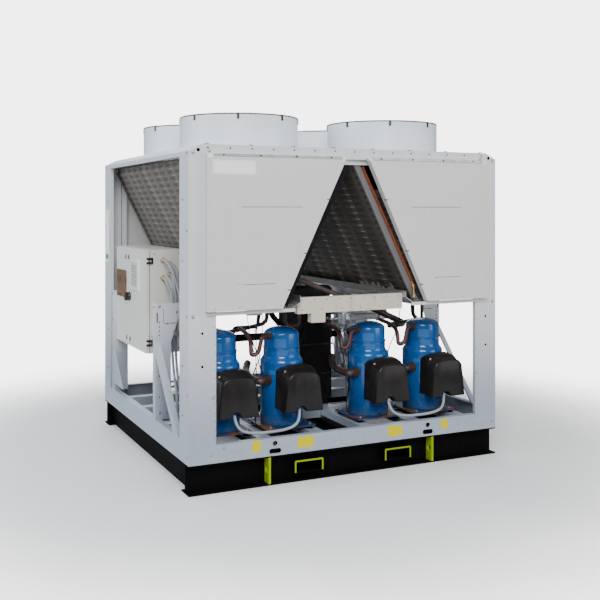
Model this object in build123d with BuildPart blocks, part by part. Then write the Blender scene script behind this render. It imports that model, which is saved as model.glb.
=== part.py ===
"""Air-cooled water chiller on a forklift skid.

Origin: centre of the footprint, on the ground. X runs along the front, Y to the
back, Z up, in millimetres. Heights of the machine are counted from the top of
the skid, where the base frame stands, and are called h here.
"""
from build123d import *
import math
import os

os.makedirs("parts", exist_ok=True)

# Overall size; the depth follows below from what fills the left side
length = 2410.0
skid_height = 194.0
roof_height = 2055.0
cowl_height = 242.0

# Skid of rolled beams
flange_width = 150.0
web = 6.0
flange = 9.0
side_beam_inset = 55.0
side_beam_width = 75.0
pocket_width = 205.0
pocket_height = 80.0
pocket_wall = 6.0
pocket_pitch = 702.0
pocket_bottom = 56.0
lashing_pitch = 1284.0
lashing_plate = 16.0
lashing_hole = 22.0

# Base frame
sheet = 4.0
end_rail_height = 117.0
side_rail_height = 140.0
rail_flange = 45.0
post_leg = 186.0
post_lip = 29.0
post_sheet = 3.0
cross_beam_width = 80.0
cross_beam_height = 70.0
deck_height = 98.0
machine_rail_width = 100.0
machine_rail_height = 50.0
jack_hole = 17.0
jack_hole_height = 81.0
jack_hole_pitch = length / 2
strap_slot_length = 88.0
strap_slot_height = 34.0
strap_slot_centre = 31.0

# Roof
roof_beam_bottom = 1980.0
roof_beam_width = 45.0
roof_hip_run = 90.0
roof_hip_drop = 45.0
roof_side_width = 110.0
roof_sheet = 10.0
under_lip_drop = 35.0
under_lip = 15.0

# Fans, one over each quarter of the roof along the front
fan_pitch_x = length / 2
fan_pitch_y = 953.0
fan_hole = 400.0
cowl_radius = 428.0
cowl_wall = 8.0
cowl_foot = 22.0
cowl_foot_height = 10.0
guard_wire = 5.0
guard_rings = 9
guard_drop = 14.0
blade_count = 7
hub_radius = 95.0
blade_radius = 388.0
blade_height = 70.0
blade_thickness = 6.0
motor_radius = 70.0

# Coil modules, each a V seen from the front, side by side between the sides and the middle
module_side_gap = 87.5
module_mid_gap = 17.5
coil_thickness = 49.0
coil_foot_x = 95.6
coil_foot_height = 1040.0
coil_top = 1945.0
coil_bottom = 985.0
coil_top_half = (length / 2 - module_side_gap - module_mid_gap) / 2
coil_slope = (coil_top_half - coil_foot_x) / (coil_top - coil_foot_height)
module_offset = module_mid_gap + coil_top_half
coil_end_frame = 20.0
coil_front = 45.0
tray_sheet = 3.0
tray_half_top = 152.0
tray_half_bottom = 60.0
tray_bottom = 950.0
tray_bend = 1008.0
tray_top = 1054.0
header_radius = 11.0
header_gap = 8.0

# End panels, which leave a triangle open between them
panel_depth = 50.0
panel_sheet = 3.0
panel_outer = 110.0
panel_bottom = 980.0
panel_top = 1993.0
panel_bevel = 26.0
triangle_half_top = 86.0
triangle_half_bottom = 569.0
lip_bottom = 951.0
lip_height = 22.0
lip_reach = 744.0
lip_depth = 12.0

# Lower frame under the modules
module_beam_width = 50.0
module_beam_height = 110.0
module_beam_front = 50.0
module_beam_bottom = 925.0
mid_beam_height = 60.0
column_depth = 60.0
column_width = 116.0
column_top = 965.0
gusset_reach = 175.0
gusset_start = 690.0
gusset_end = 870.0
brace_width = 38.0
brace_flange = 5.0
brace_run = 500.0
brace_gap = 54.0
brace_top = 685.0

# Electric cabinet on the left side
cabinet_width = 870.0
cable_bay = 250.0
cabinet_depth = 285.0
cabinet_bottom = 563.0
cabinet_height = 772.0
cabinet_wall = 3.0
door_face = 21.0
door_thickness = 26.0
door_gap = 5.0
door_margin = 2.0
window_size = (280.0, 207.0)
window_centre = (705.0, 476.0)
trim_depth = 5.0
vent_size = (250.0, 251.0)
vent_centre = (302.0, 565.0)
vent_depth = 16.0
switch_centre = (457.0, 390.0)
switch_radius = 34.0
switch_depth = 45.0
switch_gap = 1.0
switch_shaft = 5.0
switch_clearance = 0.1
lock_radius = 13.0
lock_places = ((567.0, 697.0), (481.0, 697.0), (537.0, 57.0), (439.0, 57.0))
hinge_radius = 6.0
hinge_height = 45.0
hinge_pin = 3.0
hinge_clearance = 0.1
hinge_play = 1.0
hinge_inset = 6.0
hinge_offset = 10.0
hinge_leaf = 20.0
hinge_places = (80.0, 690.0)
gland_radius = 16.0
gland_length = 26.0
cable_radius = 10.0
cable_pitch = 26.0
cable_out = (110.0, 152.0)
# Across and down from the cabinet's top, then which drop the cable takes and whether it is in the outer row
gland_places = ((146.0, 78.0, 2, 1), (200.0, 102.0, 3, 1), (146.0, 210.0, 0, 0), (200.0, 187.0, 1, 0))
gear_plate = 3.0
gear_margin = 30.0
gear_rows = 3
gear_row_pitch = 230.0
gear_height = 110.0
gear_depth = 90.0
bracket_height = 240.0
duct_left = 165.0
duct_length = 320.0
duct_width = 70.0
duct_height = 60.0
duct_wall = 20.0

# Compressors, two pairs, each pair a gap in from its side
pair_gap_left = 146.5
pair_gap_right = 220.5
compressor_pitch = 480.0
compressor_y = 370.0
foot_height = 20.0
foot_radius = 20.0
foot_pitch = 300.0
plate_size = 376.0
plate_thickness = 10.0
shell_lower = 151.5
shell_upper = 128.5
shoulder_low = 562.0
shoulder_high = 611.0
seam_height = 666.0
seam_step = 3.0
dome_start = 755.0
compressor_top = 807.0
stub_angle = 205.0
discharge_height = 752.0
suction_height = 445.0
discharge_radius = 15.0
suction_radius = 25.0
stub_collar = 5.0
stub_reach = 28.0
hood_width = 283.0
hood_depth = 180.0
hood_bottom = 258.0
hood_side_height = 256.0
hood_rise = 42.0
hood_offset = 43.0
hood_front = 75.0
hood_gap = 1.0
hood_notch = 38.0
conduit_radius = 10.0

# Evaporator and water side
evaporator_x = 1215.0
evaporator_width = 260.0
evaporator_depth = 480.0
evaporator_bottom = 145.0
evaporator_height = 690.0
evaporator_corner = 25.0
evaporator_gap = 20.0
stand_overhang = 30.0
water_radius = 45.0
water_heights = (690.0, 300.0)
water_y = 1560.0
coupling_radius = 58.0
coupling_width = 48.0
coupling_setback = 90.0
water_setback = 25.0
pipe_seat = 16.0
pipe_groove = 9.0
pipe_groove_depth = 2.2
box_size = (110.0, 62.0, 62.0)
box_corner = 6.0
tray_box_y = 450.0
beam_box_x = 255.0

# What fills the left side between the corner posts: brace, column, cables, cabinet, column
column_gap = 10.0
column_clearance = 77.0
front_column = post_leg + brace_gap + brace_run
cabinet_front = front_column + column_depth + cable_bay
column_places = (front_column, cabinet_front + cabinet_width + column_gap)
depth = column_places[1] + column_depth + column_clearance + post_leg

# Cross beams: under the front column, behind the evaporator, ahead of the rear column
front_beam_setback = 50.0
rear_beam_setback = 130.0
front_beam = front_column + front_beam_setback
evaporator_y = front_beam + cross_beam_width / 2 + evaporator_gap
middle_beam = evaporator_y + evaporator_depth + stand_overhang + cross_beam_width / 2
cross_beam_places = (front_beam, middle_beam, column_places[1] - rear_beam_setback)

half_x = length / 2
half_y = depth / 2
pair_half = (compressor_pitch + plate_size) / 2
pair_centres = (pair_gap_left + pair_half, length - pair_gap_right - pair_half)


def at(x, y, h):
    """Point from body corner distances: x from the left, y from the front, h over the skid."""
    return (x - half_x, y - half_y, h + skid_height)


def keep(piece, label):
    """Labels a finished piece and writes it as its own STEP file."""
    piece.part.label = label
    export_step(piece.part, f"parts/{label}.step")


def rounded(points, spread=0.45):
    """Path through points with an arc at each corner, as large as its two runs allow."""
    corners = [Vector(*p) for p in points]
    radii = []
    for before, here, after in zip(corners, corners[1:], corners[2:]):
        turn = math.radians((here - before).get_angle(after - here))
        run = min((here - before).length, (after - here).length)
        radii.append(spread * run / math.tan(turn / 2))
    return FilletPolyline(*corners, radius=radii)


def tube(points, radius, spread=0.45):
    """Solid round pipe along a rounded path, added to the part being built."""
    with BuildLine(mode=Mode.PRIVATE) as route:
        rounded(points, spread)
    start = Plane(origin=route.line @ 0, z_dir=route.line % 0)
    with BuildSketch(start, mode=Mode.PRIVATE) as ring:
        Circle(radius)
    sweep(sections=ring.sketch, path=route.line)


def open_box(width, height, wall):
    """Hollow rectangle, for tubes."""
    Rectangle(width, height)
    Rectangle(width - 2 * wall, height - 2 * wall, mode=Mode.SUBTRACT)


# Skid: front and rear beams with the fork pockets let through their webs
beam_y = half_y - flange_width / 2
pocket_z = pocket_bottom + pocket_height / 2
with BuildPart() as end_beams:
    for side in (-1, 1):
        with BuildSketch(Plane.YZ.offset(-half_x)):
            with Locations((side * beam_y, skid_height / 2)):
                Rectangle(web, skid_height)
            for z in (flange / 2, skid_height - flange / 2):
                with Locations((side * beam_y, z)):
                    Rectangle(flange_width, flange)
        extrude(amount=length)
        for x in (-pocket_pitch / 2, pocket_pitch / 2):
            with Locations((x, side * beam_y, pocket_z)):
                Box(pocket_width, 4 * web, pocket_height, mode=Mode.SUBTRACT)
keep(end_beams, "skid_end_beams")

inner_y = half_y - flange_width
web_y = beam_y - web / 2
with BuildPart() as side_beams:
    for side in (-1, 1):
        x_web = side * (half_x - side_beam_inset - web / 2)
        x_mid = side * (half_x - side_beam_inset - side_beam_width / 2)
        with BuildSketch(Plane.XZ.offset(-inner_y)):
            with Locations((x_web, skid_height / 2)):
                Rectangle(web, skid_height)
            for z in (flange / 2, skid_height - flange / 2):
                with Locations((x_mid, z)):
                    Rectangle(side_beam_width, flange)
        extrude(amount=2 * inner_y)
        with Locations((x_web, 0, skid_height / 2)):
            Box(web, 2 * web_y, skid_height - 2 * flange)
    with BuildSketch(Plane.XZ.offset(-inner_y)):
        with Locations((0, skid_height / 2)):
            Rectangle(web, skid_height)
        for z in (flange / 2, skid_height - flange / 2):
            with Locations((0, z)):
                Rectangle(flange_width, flange)
    extrude(amount=2 * inner_y)
keep(side_beams, "skid_side_beams")

with BuildPart() as pockets:
    for x in (-pocket_pitch / 2, pocket_pitch / 2):
        with BuildSketch(Plane.XZ.offset(-half_y)):
            with Locations((x, pocket_z)):
                open_box(pocket_width, pocket_height, pocket_wall)
        extrude(amount=depth)
keep(pockets, "fork_pockets")

lashing_depth = (flange_width - web) / 2
with BuildPart() as lashing:
    for x in (-lashing_pitch / 2, lashing_pitch / 2):
        for side in (-1, 1):
            with Locations((x, side * (half_y - lashing_depth / 2), skid_height / 2)):
                Box(lashing_plate, lashing_depth, skid_height - 2 * flange)
                Cylinder(lashing_hole, 2 * lashing_plate, rotation=(0, 90, 0), mode=Mode.SUBTRACT)
keep(lashing, "lashing_plates")

# Base frame: rails between the corner posts
with BuildPart() as end_rails:
    for side in (-1, 1):
        with BuildSketch(Plane.YZ.offset(post_leg - half_x)):
            with Locations((side * (half_y - sheet / 2), skid_height + end_rail_height / 2)):
                Rectangle(sheet, end_rail_height)
            for h in (sheet / 2, end_rail_height - sheet / 2):
                with Locations((side * (half_y - rail_flange / 2), skid_height + h)):
                    Rectangle(rail_flange, sheet)
        extrude(amount=length - 2 * post_leg)
        for x in (-jack_hole_pitch / 2, jack_hole_pitch / 2):
            with BuildSketch(Plane.XZ.offset(-side * half_y)):
                with Locations((x, skid_height + jack_hole_height)):
                    Circle(jack_hole)
                with Locations((x, skid_height + strap_slot_centre)):
                    SlotOverall(strap_slot_length, strap_slot_height)
            extrude(amount=2 * sheet, both=True, mode=Mode.SUBTRACT)
keep(end_rails, "base_end_rails")

with BuildPart() as side_rails:
    for side in (-1, 1):
        with BuildSketch(Plane.XZ.offset(post_leg - half_y)):
            with Locations((side * (half_x - sheet / 2), skid_height + side_rail_height / 2)):
                Rectangle(sheet, side_rail_height)
            for h in (sheet / 2, side_rail_height - sheet / 2):
                with Locations((side * (half_x - rail_flange / 2), skid_height + h)):
                    Rectangle(rail_flange, sheet)
        extrude(amount=depth - 2 * post_leg)
keep(side_rails, "base_side_rails")

inner_length = length - 2 * sheet
with BuildPart() as cross_beams:
    for y in cross_beam_places:
        with BuildSketch(Plane.YZ.offset(-inner_length / 2)):
            with Locations((y - half_y, skid_height + deck_height - cross_beam_height / 2)):
                open_box(cross_beam_width, cross_beam_height, sheet)
        extrude(amount=inner_length)
keep(cross_beams, "base_cross_beams")

rail_front = rail_flange
rail_back = cross_beam_places[0] - cross_beam_width / 2
rail_spread = plate_size / 2 + compressor_pitch / 2 - machine_rail_width / 3
stand_front = cross_beam_places[0] + cross_beam_width / 2
stand_back = cross_beam_places[1] - cross_beam_width / 2
with BuildPart() as machine_rails:
    for pair in pair_centres:
        for x in (pair - rail_spread, pair, pair + rail_spread):
            with BuildSketch(Plane.XZ.offset(half_y - rail_front)):
                with Locations((x - half_x, skid_height + deck_height - machine_rail_height / 2)):
                    open_box(machine_rail_width, machine_rail_height, sheet)
            extrude(amount=rail_front - rail_back)
    for x in (evaporator_x + evaporator_width / 5, evaporator_x + evaporator_width * 4 / 5):
        with BuildSketch(Plane.XZ.offset(half_y - stand_front)):
            with Locations((x - half_x, skid_height + deck_height - machine_rail_height / 2)):
                open_box(machine_rail_height, machine_rail_height, sheet)
        extrude(amount=stand_front - stand_back)
keep(machine_rails, "machine_rails")

# Corner posts: folded angles with return lips, up to the roof
for sx, sy, label in ((-1, -1, "corner_post_front_left"), (1, -1, "corner_post_front_right"),
                      (-1, 1, "corner_post_rear_left"), (1, 1, "corner_post_rear_right")):
    with BuildPart() as post:
        with BuildSketch(Plane.XY.offset(skid_height)):
            with Locations((sx * (half_x - post_leg / 2), sy * (half_y - post_sheet / 2))):
                Rectangle(post_leg, post_sheet)
            with Locations((sx * (half_x - post_sheet / 2), sy * (half_y - post_leg / 2))):
                Rectangle(post_sheet, post_leg)
            with Locations((sx * (half_x - post_leg + post_sheet / 2), sy * (half_y - post_lip / 2))):
                Rectangle(post_sheet, post_lip)
            with Locations((sx * (half_x - post_lip / 2), sy * (half_y - post_leg + post_sheet / 2))):
                Rectangle(post_lip, post_sheet)
        extrude(amount=roof_beam_bottom)
    keep(post, label)

# Roof: front and rear beams with hipped ends, side beams, fan deck
roof_top = skid_height + roof_height
roof_low = skid_height + roof_beam_bottom
with BuildPart() as roof_ends:
    for side in (-1, 1):
        face = Plane.XZ.offset(-side * half_y)
        with BuildSketch(face):
            with BuildLine():
                Polyline((-half_x, roof_low), (-half_x, roof_top - roof_hip_drop),
                         (roof_hip_run - half_x, roof_top), (half_x - roof_hip_run, roof_top),
                         (half_x, roof_top - roof_hip_drop), (half_x, roof_low), close=True)
            make_face()
        extrude(amount=side * roof_beam_width)
        with Locations((0, side * (half_y - roof_beam_width + under_lip / 2),
                        roof_low - under_lip_drop / 2)):
            Box(length - 2 * post_leg, under_lip, under_lip_drop)
keep(roof_ends, "roof_end_beams")

with BuildPart() as roof_sides:
    for side in (-1, 1):
        with BuildSketch(Plane.XZ.offset(half_y - roof_beam_width)):
            with BuildLine():
                Polyline(*[(side * (half_x - x), z) for x, z in (
                    (0, roof_low), (0, roof_top - roof_hip_drop), (roof_hip_run, roof_top),
                    (roof_side_width, roof_top), (roof_side_width, roof_top - roof_sheet),
                    (roof_hip_run, roof_top - roof_sheet),
                    (post_lip, roof_top - roof_hip_drop - roof_sheet), (post_lip, roof_low))],
                    close=True)
            make_face()
        extrude(amount=-(depth - 2 * roof_beam_width))
keep(roof_sides, "roof_side_beams")

fan_places = [(x, y) for y in (-fan_pitch_y / 2, fan_pitch_y / 2)
              for x in (-fan_pitch_x / 2, fan_pitch_x / 2)]
with BuildPart() as fan_deck:
    with BuildSketch(Plane.XY.offset(roof_top - roof_sheet)):
        Rectangle(length - 2 * roof_side_width, depth - 2 * roof_beam_width)
        with Locations(*fan_places):
            Circle(fan_hole, mode=Mode.SUBTRACT)
    extrude(amount=roof_sheet)
keep(fan_deck, "fan_deck")

# Fan cowls, guards and rotors
cowl_top = roof_top + cowl_height
cowl_inner = cowl_radius - cowl_wall
for number, (x, y) in enumerate(fan_places, 1):
    with BuildPart() as cowl:
        with BuildSketch(Plane.XZ):
            with BuildLine():
                Polyline((cowl_inner, roof_top), (cowl_radius + cowl_foot, roof_top),
                         (cowl_radius + cowl_foot, roof_top + cowl_foot_height),
                         (cowl_radius, roof_top + 2 * cowl_foot_height),
                         (cowl_radius, cowl_top), (cowl_inner, cowl_top), close=True)
            make_face()
        revolve(axis=Axis.Z)
        cowl.part = cowl.part.moved(Location((x, y, 0)))
    keep(cowl, f"fan_cowl_{number}")

guard_z = cowl_top - guard_drop
ring_step = (cowl_inner - hub_radius) / guard_rings
with BuildPart() as guards:
    with BuildSketch(Plane.XY.offset(guard_z)):
        with Locations(*fan_places):
            for ring in range(guard_rings, 0, -1):
                radius = hub_radius + ring * ring_step
                Circle(radius)
                Circle(radius - guard_wire, mode=Mode.SUBTRACT)
            Circle(hub_radius)
            for turn in (0, 45, 90, 135):
                Rectangle(2 * cowl_inner - guard_wire, guard_wire, rotation=turn)
    extrude(amount=guard_wire)
keep(guards, "fan_guards")

hub_top = guard_z
hub_bottom = hub_top - blade_height - 2 * guard_drop
with BuildPart() as rotors:
    for x, y in fan_places:
        with Locations((x, y, (hub_top + hub_bottom) / 2)):
            Cylinder(hub_radius, hub_top - hub_bottom)
        with Locations((x, y, hub_bottom - guard_drop / 2)):
            Cylinder(motor_radius, guard_drop)
        for blade in range(blade_count):
            turn = 360 * blade / blade_count
            reach = blade_radius - hub_radius / 2
            middle = (blade_radius + hub_radius / 2) / 2
            spoke = Location((x, y, (hub_top + hub_bottom) / 2), (0, 0, turn))
            with Locations(spoke * Location((middle, 0, 0), (28, 0, 0))):
                Box(reach, 2 * blade_height, blade_thickness)
keep(rotors, "fan_rotors")

# Coils: two V modules, each side an inclined finned block between end frames
module_places = (-module_offset, module_offset)


def slope_x(h, depth_in=0.0):
    """Distance from a module's centre to a coil's outer face at height h, less depth_in."""
    return coil_foot_x + (h - coil_foot_height) * coil_slope - depth_in


def coil_outline(side, low, high, outer, inner):
    """Corners of an inclined strip, as x from the module centre and height over the ground."""
    return [(side * slope_x(low, outer), low + skid_height), (side * slope_x(high, outer), high + skid_height),
            (side * slope_x(high, inner), high + skid_height), (side * slope_x(low, inner), low + skid_height)]


coil_back = depth - coil_front
coil_sides = [(module, side) for module in module_places for side in (-1, 1)]
for number, (module, side) in enumerate(coil_sides, 1):
    with BuildPart() as coil:
        with BuildSketch(Plane.XZ.offset(half_y - coil_front - coil_end_frame)):
            with BuildLine():
                corners = coil_outline(side, coil_bottom, coil_top, 2.0, coil_thickness - 2.0)
                Polyline(*[(module + x, z) for x, z in corners], close=True)
            make_face()
        extrude(amount=-(coil_back - coil_front - 2 * coil_end_frame))
    keep(coil, f"coil_{number}")

with BuildPart() as end_frames:
    for module, side in coil_sides:
        for y in (coil_front, coil_back - coil_end_frame):
            with BuildSketch(Plane.XZ.offset(half_y - y)):
                with BuildLine():
                    corners = coil_outline(side, tray_bottom + tray_sheet, coil_top, 0.0, coil_thickness)
                    Polyline(*[(module + x, z) for x, z in corners], close=True)
                make_face()
            extrude(amount=-coil_end_frame)
keep(end_frames, "coil_end_frames")

with BuildPart() as trays:
    for module in module_places:
        with BuildSketch(Plane.XZ.offset(half_y)):
            with BuildLine():
                outer = [(-tray_half_top, tray_top), (-tray_half_top, tray_bend),
                         (-tray_half_bottom, tray_bottom), (tray_half_bottom, tray_bottom),
                         (tray_half_top, tray_bend), (tray_half_top, tray_top)]
                inner = [(x - math.copysign(tray_sheet, x), h + (tray_sheet if h < tray_top else 0))
                         for x, h in reversed(outer)]
                Polyline(*[(module + x, h + skid_height) for x, h in outer + inner], close=True)
            make_face()
        extrude(amount=-depth)
keep(trays, "coil_trays")

clip_half = header_radius / 2
header_inset = coil_thickness + header_gap + header_radius
header_y = coil_front + coil_end_frame / 2 - half_y
with BuildPart() as headers:
    for module, side in coil_sides:
        bottom, top = tray_top + header_radius, coil_top - header_radius
        low, high = [Vector(module + side * slope_x(h, header_inset), header_y, h + skid_height)
                     for h in (bottom, top)]
        with BuildSketch(Plane(origin=low, z_dir=high - low)):
            Circle(header_radius)
        extrude(amount=(high - low).length)
        for h in (bottom + 3 * header_radius, (bottom + top) / 2, top - 3 * header_radius):
            with BuildSketch(Plane.XZ.offset(clip_half - header_y)):
                with BuildLine():
                    corners = coil_outline(side, h - clip_half, h + clip_half, coil_thickness, header_inset)
                    Polyline(*[(module + x, z) for x, z in corners], close=True)
                make_face()
            extrude(amount=2 * clip_half)
keep(headers, "copper_headers")

# End panels: folded trays with a bevelled top edge
skew = (triangle_half_bottom - triangle_half_top) / (panel_top - panel_bottom)


def panel_outline(hand, inset, crown):
    """Corners of an end panel, drawn in by inset, with its top lowered by crown."""
    low, high = panel_bottom + inset, panel_top - crown
    outer = half_x - panel_outer - inset
    back_off = inset * math.hypot(1, skew)
    corners = [(outer, low), (outer, high), (triangle_half_top + skew * crown + back_off, high),
               (triangle_half_bottom - skew * inset + back_off, low)]
    return [(hand * x, h + skid_height) for x, h in corners]


for side, label in ((-1, "front"), (1, "rear")):
    face = Plane.XZ.offset(-side * half_y)
    with BuildPart() as panels:
        for hand in (-1, 1):
            with BuildSketch(face):
                with BuildLine():
                    Polyline(*panel_outline(hand, 0, 0), close=True)
                make_face()
        extrude(amount=-side * panel_depth)
        crests = panels.edges().filter_by(Axis.X).group_by(Axis.Z)[-1].group_by(Axis.Y)
        chamfer(crests[0 if side < 0 else -1], panel_bevel - panel_sheet)
        for hand in (-1, 1):
            with BuildSketch(face):
                with BuildLine():
                    Polyline(*panel_outline(hand, panel_sheet, panel_bevel), close=True)
                make_face()
        extrude(amount=-side * (panel_depth - panel_sheet), mode=Mode.SUBTRACT)
    keep(panels, f"end_panels_{label}")

with BuildPart() as lips:
    for side in (-1, 1):
        for hand in (-1, 1):
            x = hand * (half_x - (panel_outer + lip_reach) / 2)
            with Locations((x, side * (half_y + lip_depth / 2), skid_height + lip_bottom + lip_height / 2)):
                Box(lip_reach - panel_outer, lip_depth, lip_height)
keep(lips, "end_panel_lips")

# Beams between and under the coil trays
between_trays = 2 * (module_offset - tray_half_top)
with BuildPart() as module_beams:
    for y in (module_beam_front, depth - module_beam_front - module_beam_width):
        with Locations(at(half_x, y + module_beam_width / 2, module_beam_bottom + module_beam_height / 2)):
            Box(between_trays, module_beam_width, module_beam_height)
    for y in column_places:
        with Locations(at(half_x, y + (column_depth + sheet) / 2, tray_bottom - mid_beam_height / 2)):
            Box(length - 2 * column_width, column_depth - sheet, mid_beam_height)
keep(module_beams, "module_beams")

# Columns with a gusset head on the side rails, and a brace to each front one
with BuildPart() as columns:
    for hand in (-1, 1):
        for y in column_places:
            face = Plane.XZ.offset(half_y - y)
            with BuildSketch(face):
                with BuildLine():
                    Polyline(*[(hand * (half_x - x), h + skid_height) for x, h in (
                        (0, side_rail_height), (0, column_top), (gusset_reach, column_top),
                        (gusset_reach, gusset_end), (column_width, gusset_start),
                        (column_width, side_rail_height))], close=True)
                make_face()
            extrude(amount=-sheet)
            low, high = skid_height + side_rail_height, skid_height + column_top
            for x, top in ((sheet / 2, high), (column_width - sheet / 2, skid_height + gusset_start)):
                with Locations((hand * (half_x - x), y + column_depth / 2 - half_y, (low + top) / 2)):
                    Box(sheet, column_depth, top - low)
keep(columns, "side_columns")

brace_rise = brace_top - side_rail_height
brace_y = column_places[0] - half_y
with BuildPart() as braces:
    for hand in (-1, 1):
        for x, wide in ((sheet, brace_width), (brace_width, brace_flange)):
            with BuildSketch(Plane.YZ.offset(hand * half_x)):
                with BuildLine():
                    low, high = skid_height + side_rail_height, skid_height + brace_top
                    Polyline((brace_y - brace_run, low), (brace_y, high),
                             (brace_y, high - wide * brace_rise / brace_run * 2),
                             (brace_y - brace_run + 2 * wide, low), close=True)
                make_face()
            extrude(amount=-hand * x)
keep(braces, "side_braces")

# Electric cabinet with a hinged door, its gear, glands and cables
shell_x = door_face + door_thickness + door_gap
shell_depth = cabinet_depth - door_thickness - door_gap
cabinet_y = cabinet_front + cabinet_width / 2
cabinet_h = cabinet_bottom + cabinet_height / 2
cabinet_top = cabinet_bottom + cabinet_height
with BuildPart() as cabinet:
    with Locations(at(shell_x + shell_depth / 2, cabinet_y, cabinet_h)):
        Box(shell_depth, cabinet_width, cabinet_height)
    with Locations(at(shell_x + shell_depth / 2 - cabinet_wall, cabinet_y, cabinet_h)):
        Box(shell_depth, cabinet_width - 2 * cabinet_wall, cabinet_height - 2 * cabinet_wall,
            mode=Mode.SUBTRACT)
keep(cabinet, "cabinet_body")

gear_x = shell_x + shell_depth - cabinet_wall
with BuildPart() as gear:
    with Locations(at(gear_x - gear_plate / 2, cabinet_y, cabinet_h)):
        Box(gear_plate, cabinet_width - 2 * gear_margin, cabinet_height - 2 * gear_margin)
    for row in range(gear_rows):
        h = cabinet_h + (row - (gear_rows - 1) / 2) * gear_row_pitch
        with Locations(at(gear_x - gear_plate - gear_depth / 2, cabinet_y, h)):
            Box(gear_depth, cabinet_width - 4 * gear_margin, gear_height)
keep(gear, "cabinet_gear")

door_y = cabinet_front + cabinet_width / 2
door_width = cabinet_width - 2 * door_margin
door_height = cabinet_height - 2 * door_margin
hinge_x = door_face + hinge_inset
hinge_y = cabinet_front - hinge_offset
switch_y, switch_h = cabinet_front + switch_centre[0], cabinet_bottom + switch_centre[1]
with BuildPart() as door:
    with Locations(at(door_face + door_thickness / 2, door_y, cabinet_h)):
        Box(door_thickness, door_width, door_height)
    with Locations(at(door_face + cabinet_wall + door_thickness / 2, door_y, cabinet_h)):
        Box(door_thickness, door_width - 2 * cabinet_wall, door_height - 2 * cabinet_wall, mode=Mode.SUBTRACT)
    for y, h in lock_places:
        with Locations(at(door_face, cabinet_front + y, cabinet_bottom + h)):
            Cylinder(lock_radius, 2 * cabinet_wall, rotation=(0, 90, 0))
    with Locations(at(door_face + door_thickness / 4, switch_y, switch_h)):
        Cylinder(switch_radius / 2, door_thickness / 2, rotation=(0, 90, 0))
        Cylinder(switch_shaft + switch_clearance, door_thickness, rotation=(0, 90, 0), mode=Mode.SUBTRACT)
    for place in hinge_places:
        h = cabinet_bottom + place
        knuckle = hinge_height / 3 - hinge_play
        with Locations(at(hinge_x, hinge_y, h)):
            Cylinder(hinge_radius, knuckle)
        strap = hinge_offset + door_margin
        with Locations(at(hinge_x, hinge_y + strap / 2, h)):
            Box(hinge_radius, strap, knuckle)
        with Locations(at(hinge_x, hinge_y, h)):
            Cylinder(hinge_pin + hinge_clearance, knuckle, mode=Mode.SUBTRACT)
keep(door, "cabinet_door")

with BuildPart() as hinges:
    for place in hinge_places:
        h = cabinet_bottom + place
        with Locations(at(hinge_x, hinge_y, h)):
            Cylinder(hinge_pin, hinge_height)
        for end in (-1, 1):
            with Locations(at(hinge_x, hinge_y, h + end * hinge_height / 3)):
                Cylinder(hinge_radius, hinge_height / 3)
            arm = shell_x + hinge_leaf - hinge_x
            with Locations(at(hinge_x + arm / 2, hinge_y - hinge_radius / 4, h + end * hinge_height / 3)):
                Box(arm, 1.5 * hinge_radius, hinge_height / 3)
        pad = hinge_offset - hinge_radius / 2
        with Locations(at(shell_x + hinge_leaf * 3 / 4, cabinet_front - pad / 2, h)):
            Box(hinge_leaf / 2, pad, hinge_height)
keep(hinges, "cabinet_hinges")

with BuildPart() as window:
    with Locations(at(door_face - trim_depth / 2, cabinet_front + window_centre[0],
                      cabinet_bottom + window_centre[1])):
        Box(trim_depth, *window_size)
    fillet(window.edges().filter_by(Axis.X), 2 * trim_depth)
keep(window, "door_window")

with BuildPart() as vent:
    with Locations(at(door_face - vent_depth / 2, cabinet_front + vent_centre[0],
                      cabinet_bottom + vent_centre[1])):
        Box(vent_depth, *vent_size)
    chamfer(vent.faces().sort_by(Axis.X)[0].edges(), vent_depth - trim_depth / 2)
keep(vent, "door_vent")

with BuildPart() as switch:
    with Locations(at(door_face - switch_gap - switch_depth / 4, switch_y, switch_h)):
        Cylinder(switch_radius, switch_depth / 2, rotation=(0, 90, 0))
    with Locations(at(door_face - switch_gap - switch_depth / 2, switch_y, switch_h)):
        Box(switch_depth, switch_radius / 2, 2 * switch_radius)
    with Locations(at(door_face + door_thickness / 4, switch_y, switch_h)):
        Cylinder(switch_shaft, door_thickness / 2 + 2 * switch_gap, rotation=(0, 90, 0))
keep(switch, "main_switch")

with BuildPart() as brackets:
    bracket_front = column_places[0] + column_depth
    with Locations(at(shell_x + hinge_leaf + sheet, (bracket_front + cabinet_front) / 2,
                      cabinet_h - bracket_height)):
        Box(sheet, cabinet_front - bracket_front, bracket_height)
    cabinet_back = cabinet_front + cabinet_width
    with Locations(at(shell_x + column_width / 4, (cabinet_back + column_places[1]) / 2, cabinet_h)):
        Box(column_width / 2, column_places[1] - cabinet_back, bracket_height)
keep(brackets, "cabinet_brackets")

with BuildPart() as glands:
    for x, drop, _, _ in gland_places:
        with Locations(at(x, cabinet_front - gland_length / 2, cabinet_top - drop)):
            Cylinder(gland_radius, gland_length, rotation=(90, 0, 0))
keep(glands, "cable_glands")

duct_top = deck_height + duct_height
duct_y = cross_beam_places[0]
with BuildPart() as duct:
    with Locations(at(duct_left + duct_length / 2, duct_y, deck_height + duct_height / 2)):
        Box(duct_length, duct_width, duct_height)
keep(duct, "cable_duct")

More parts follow.
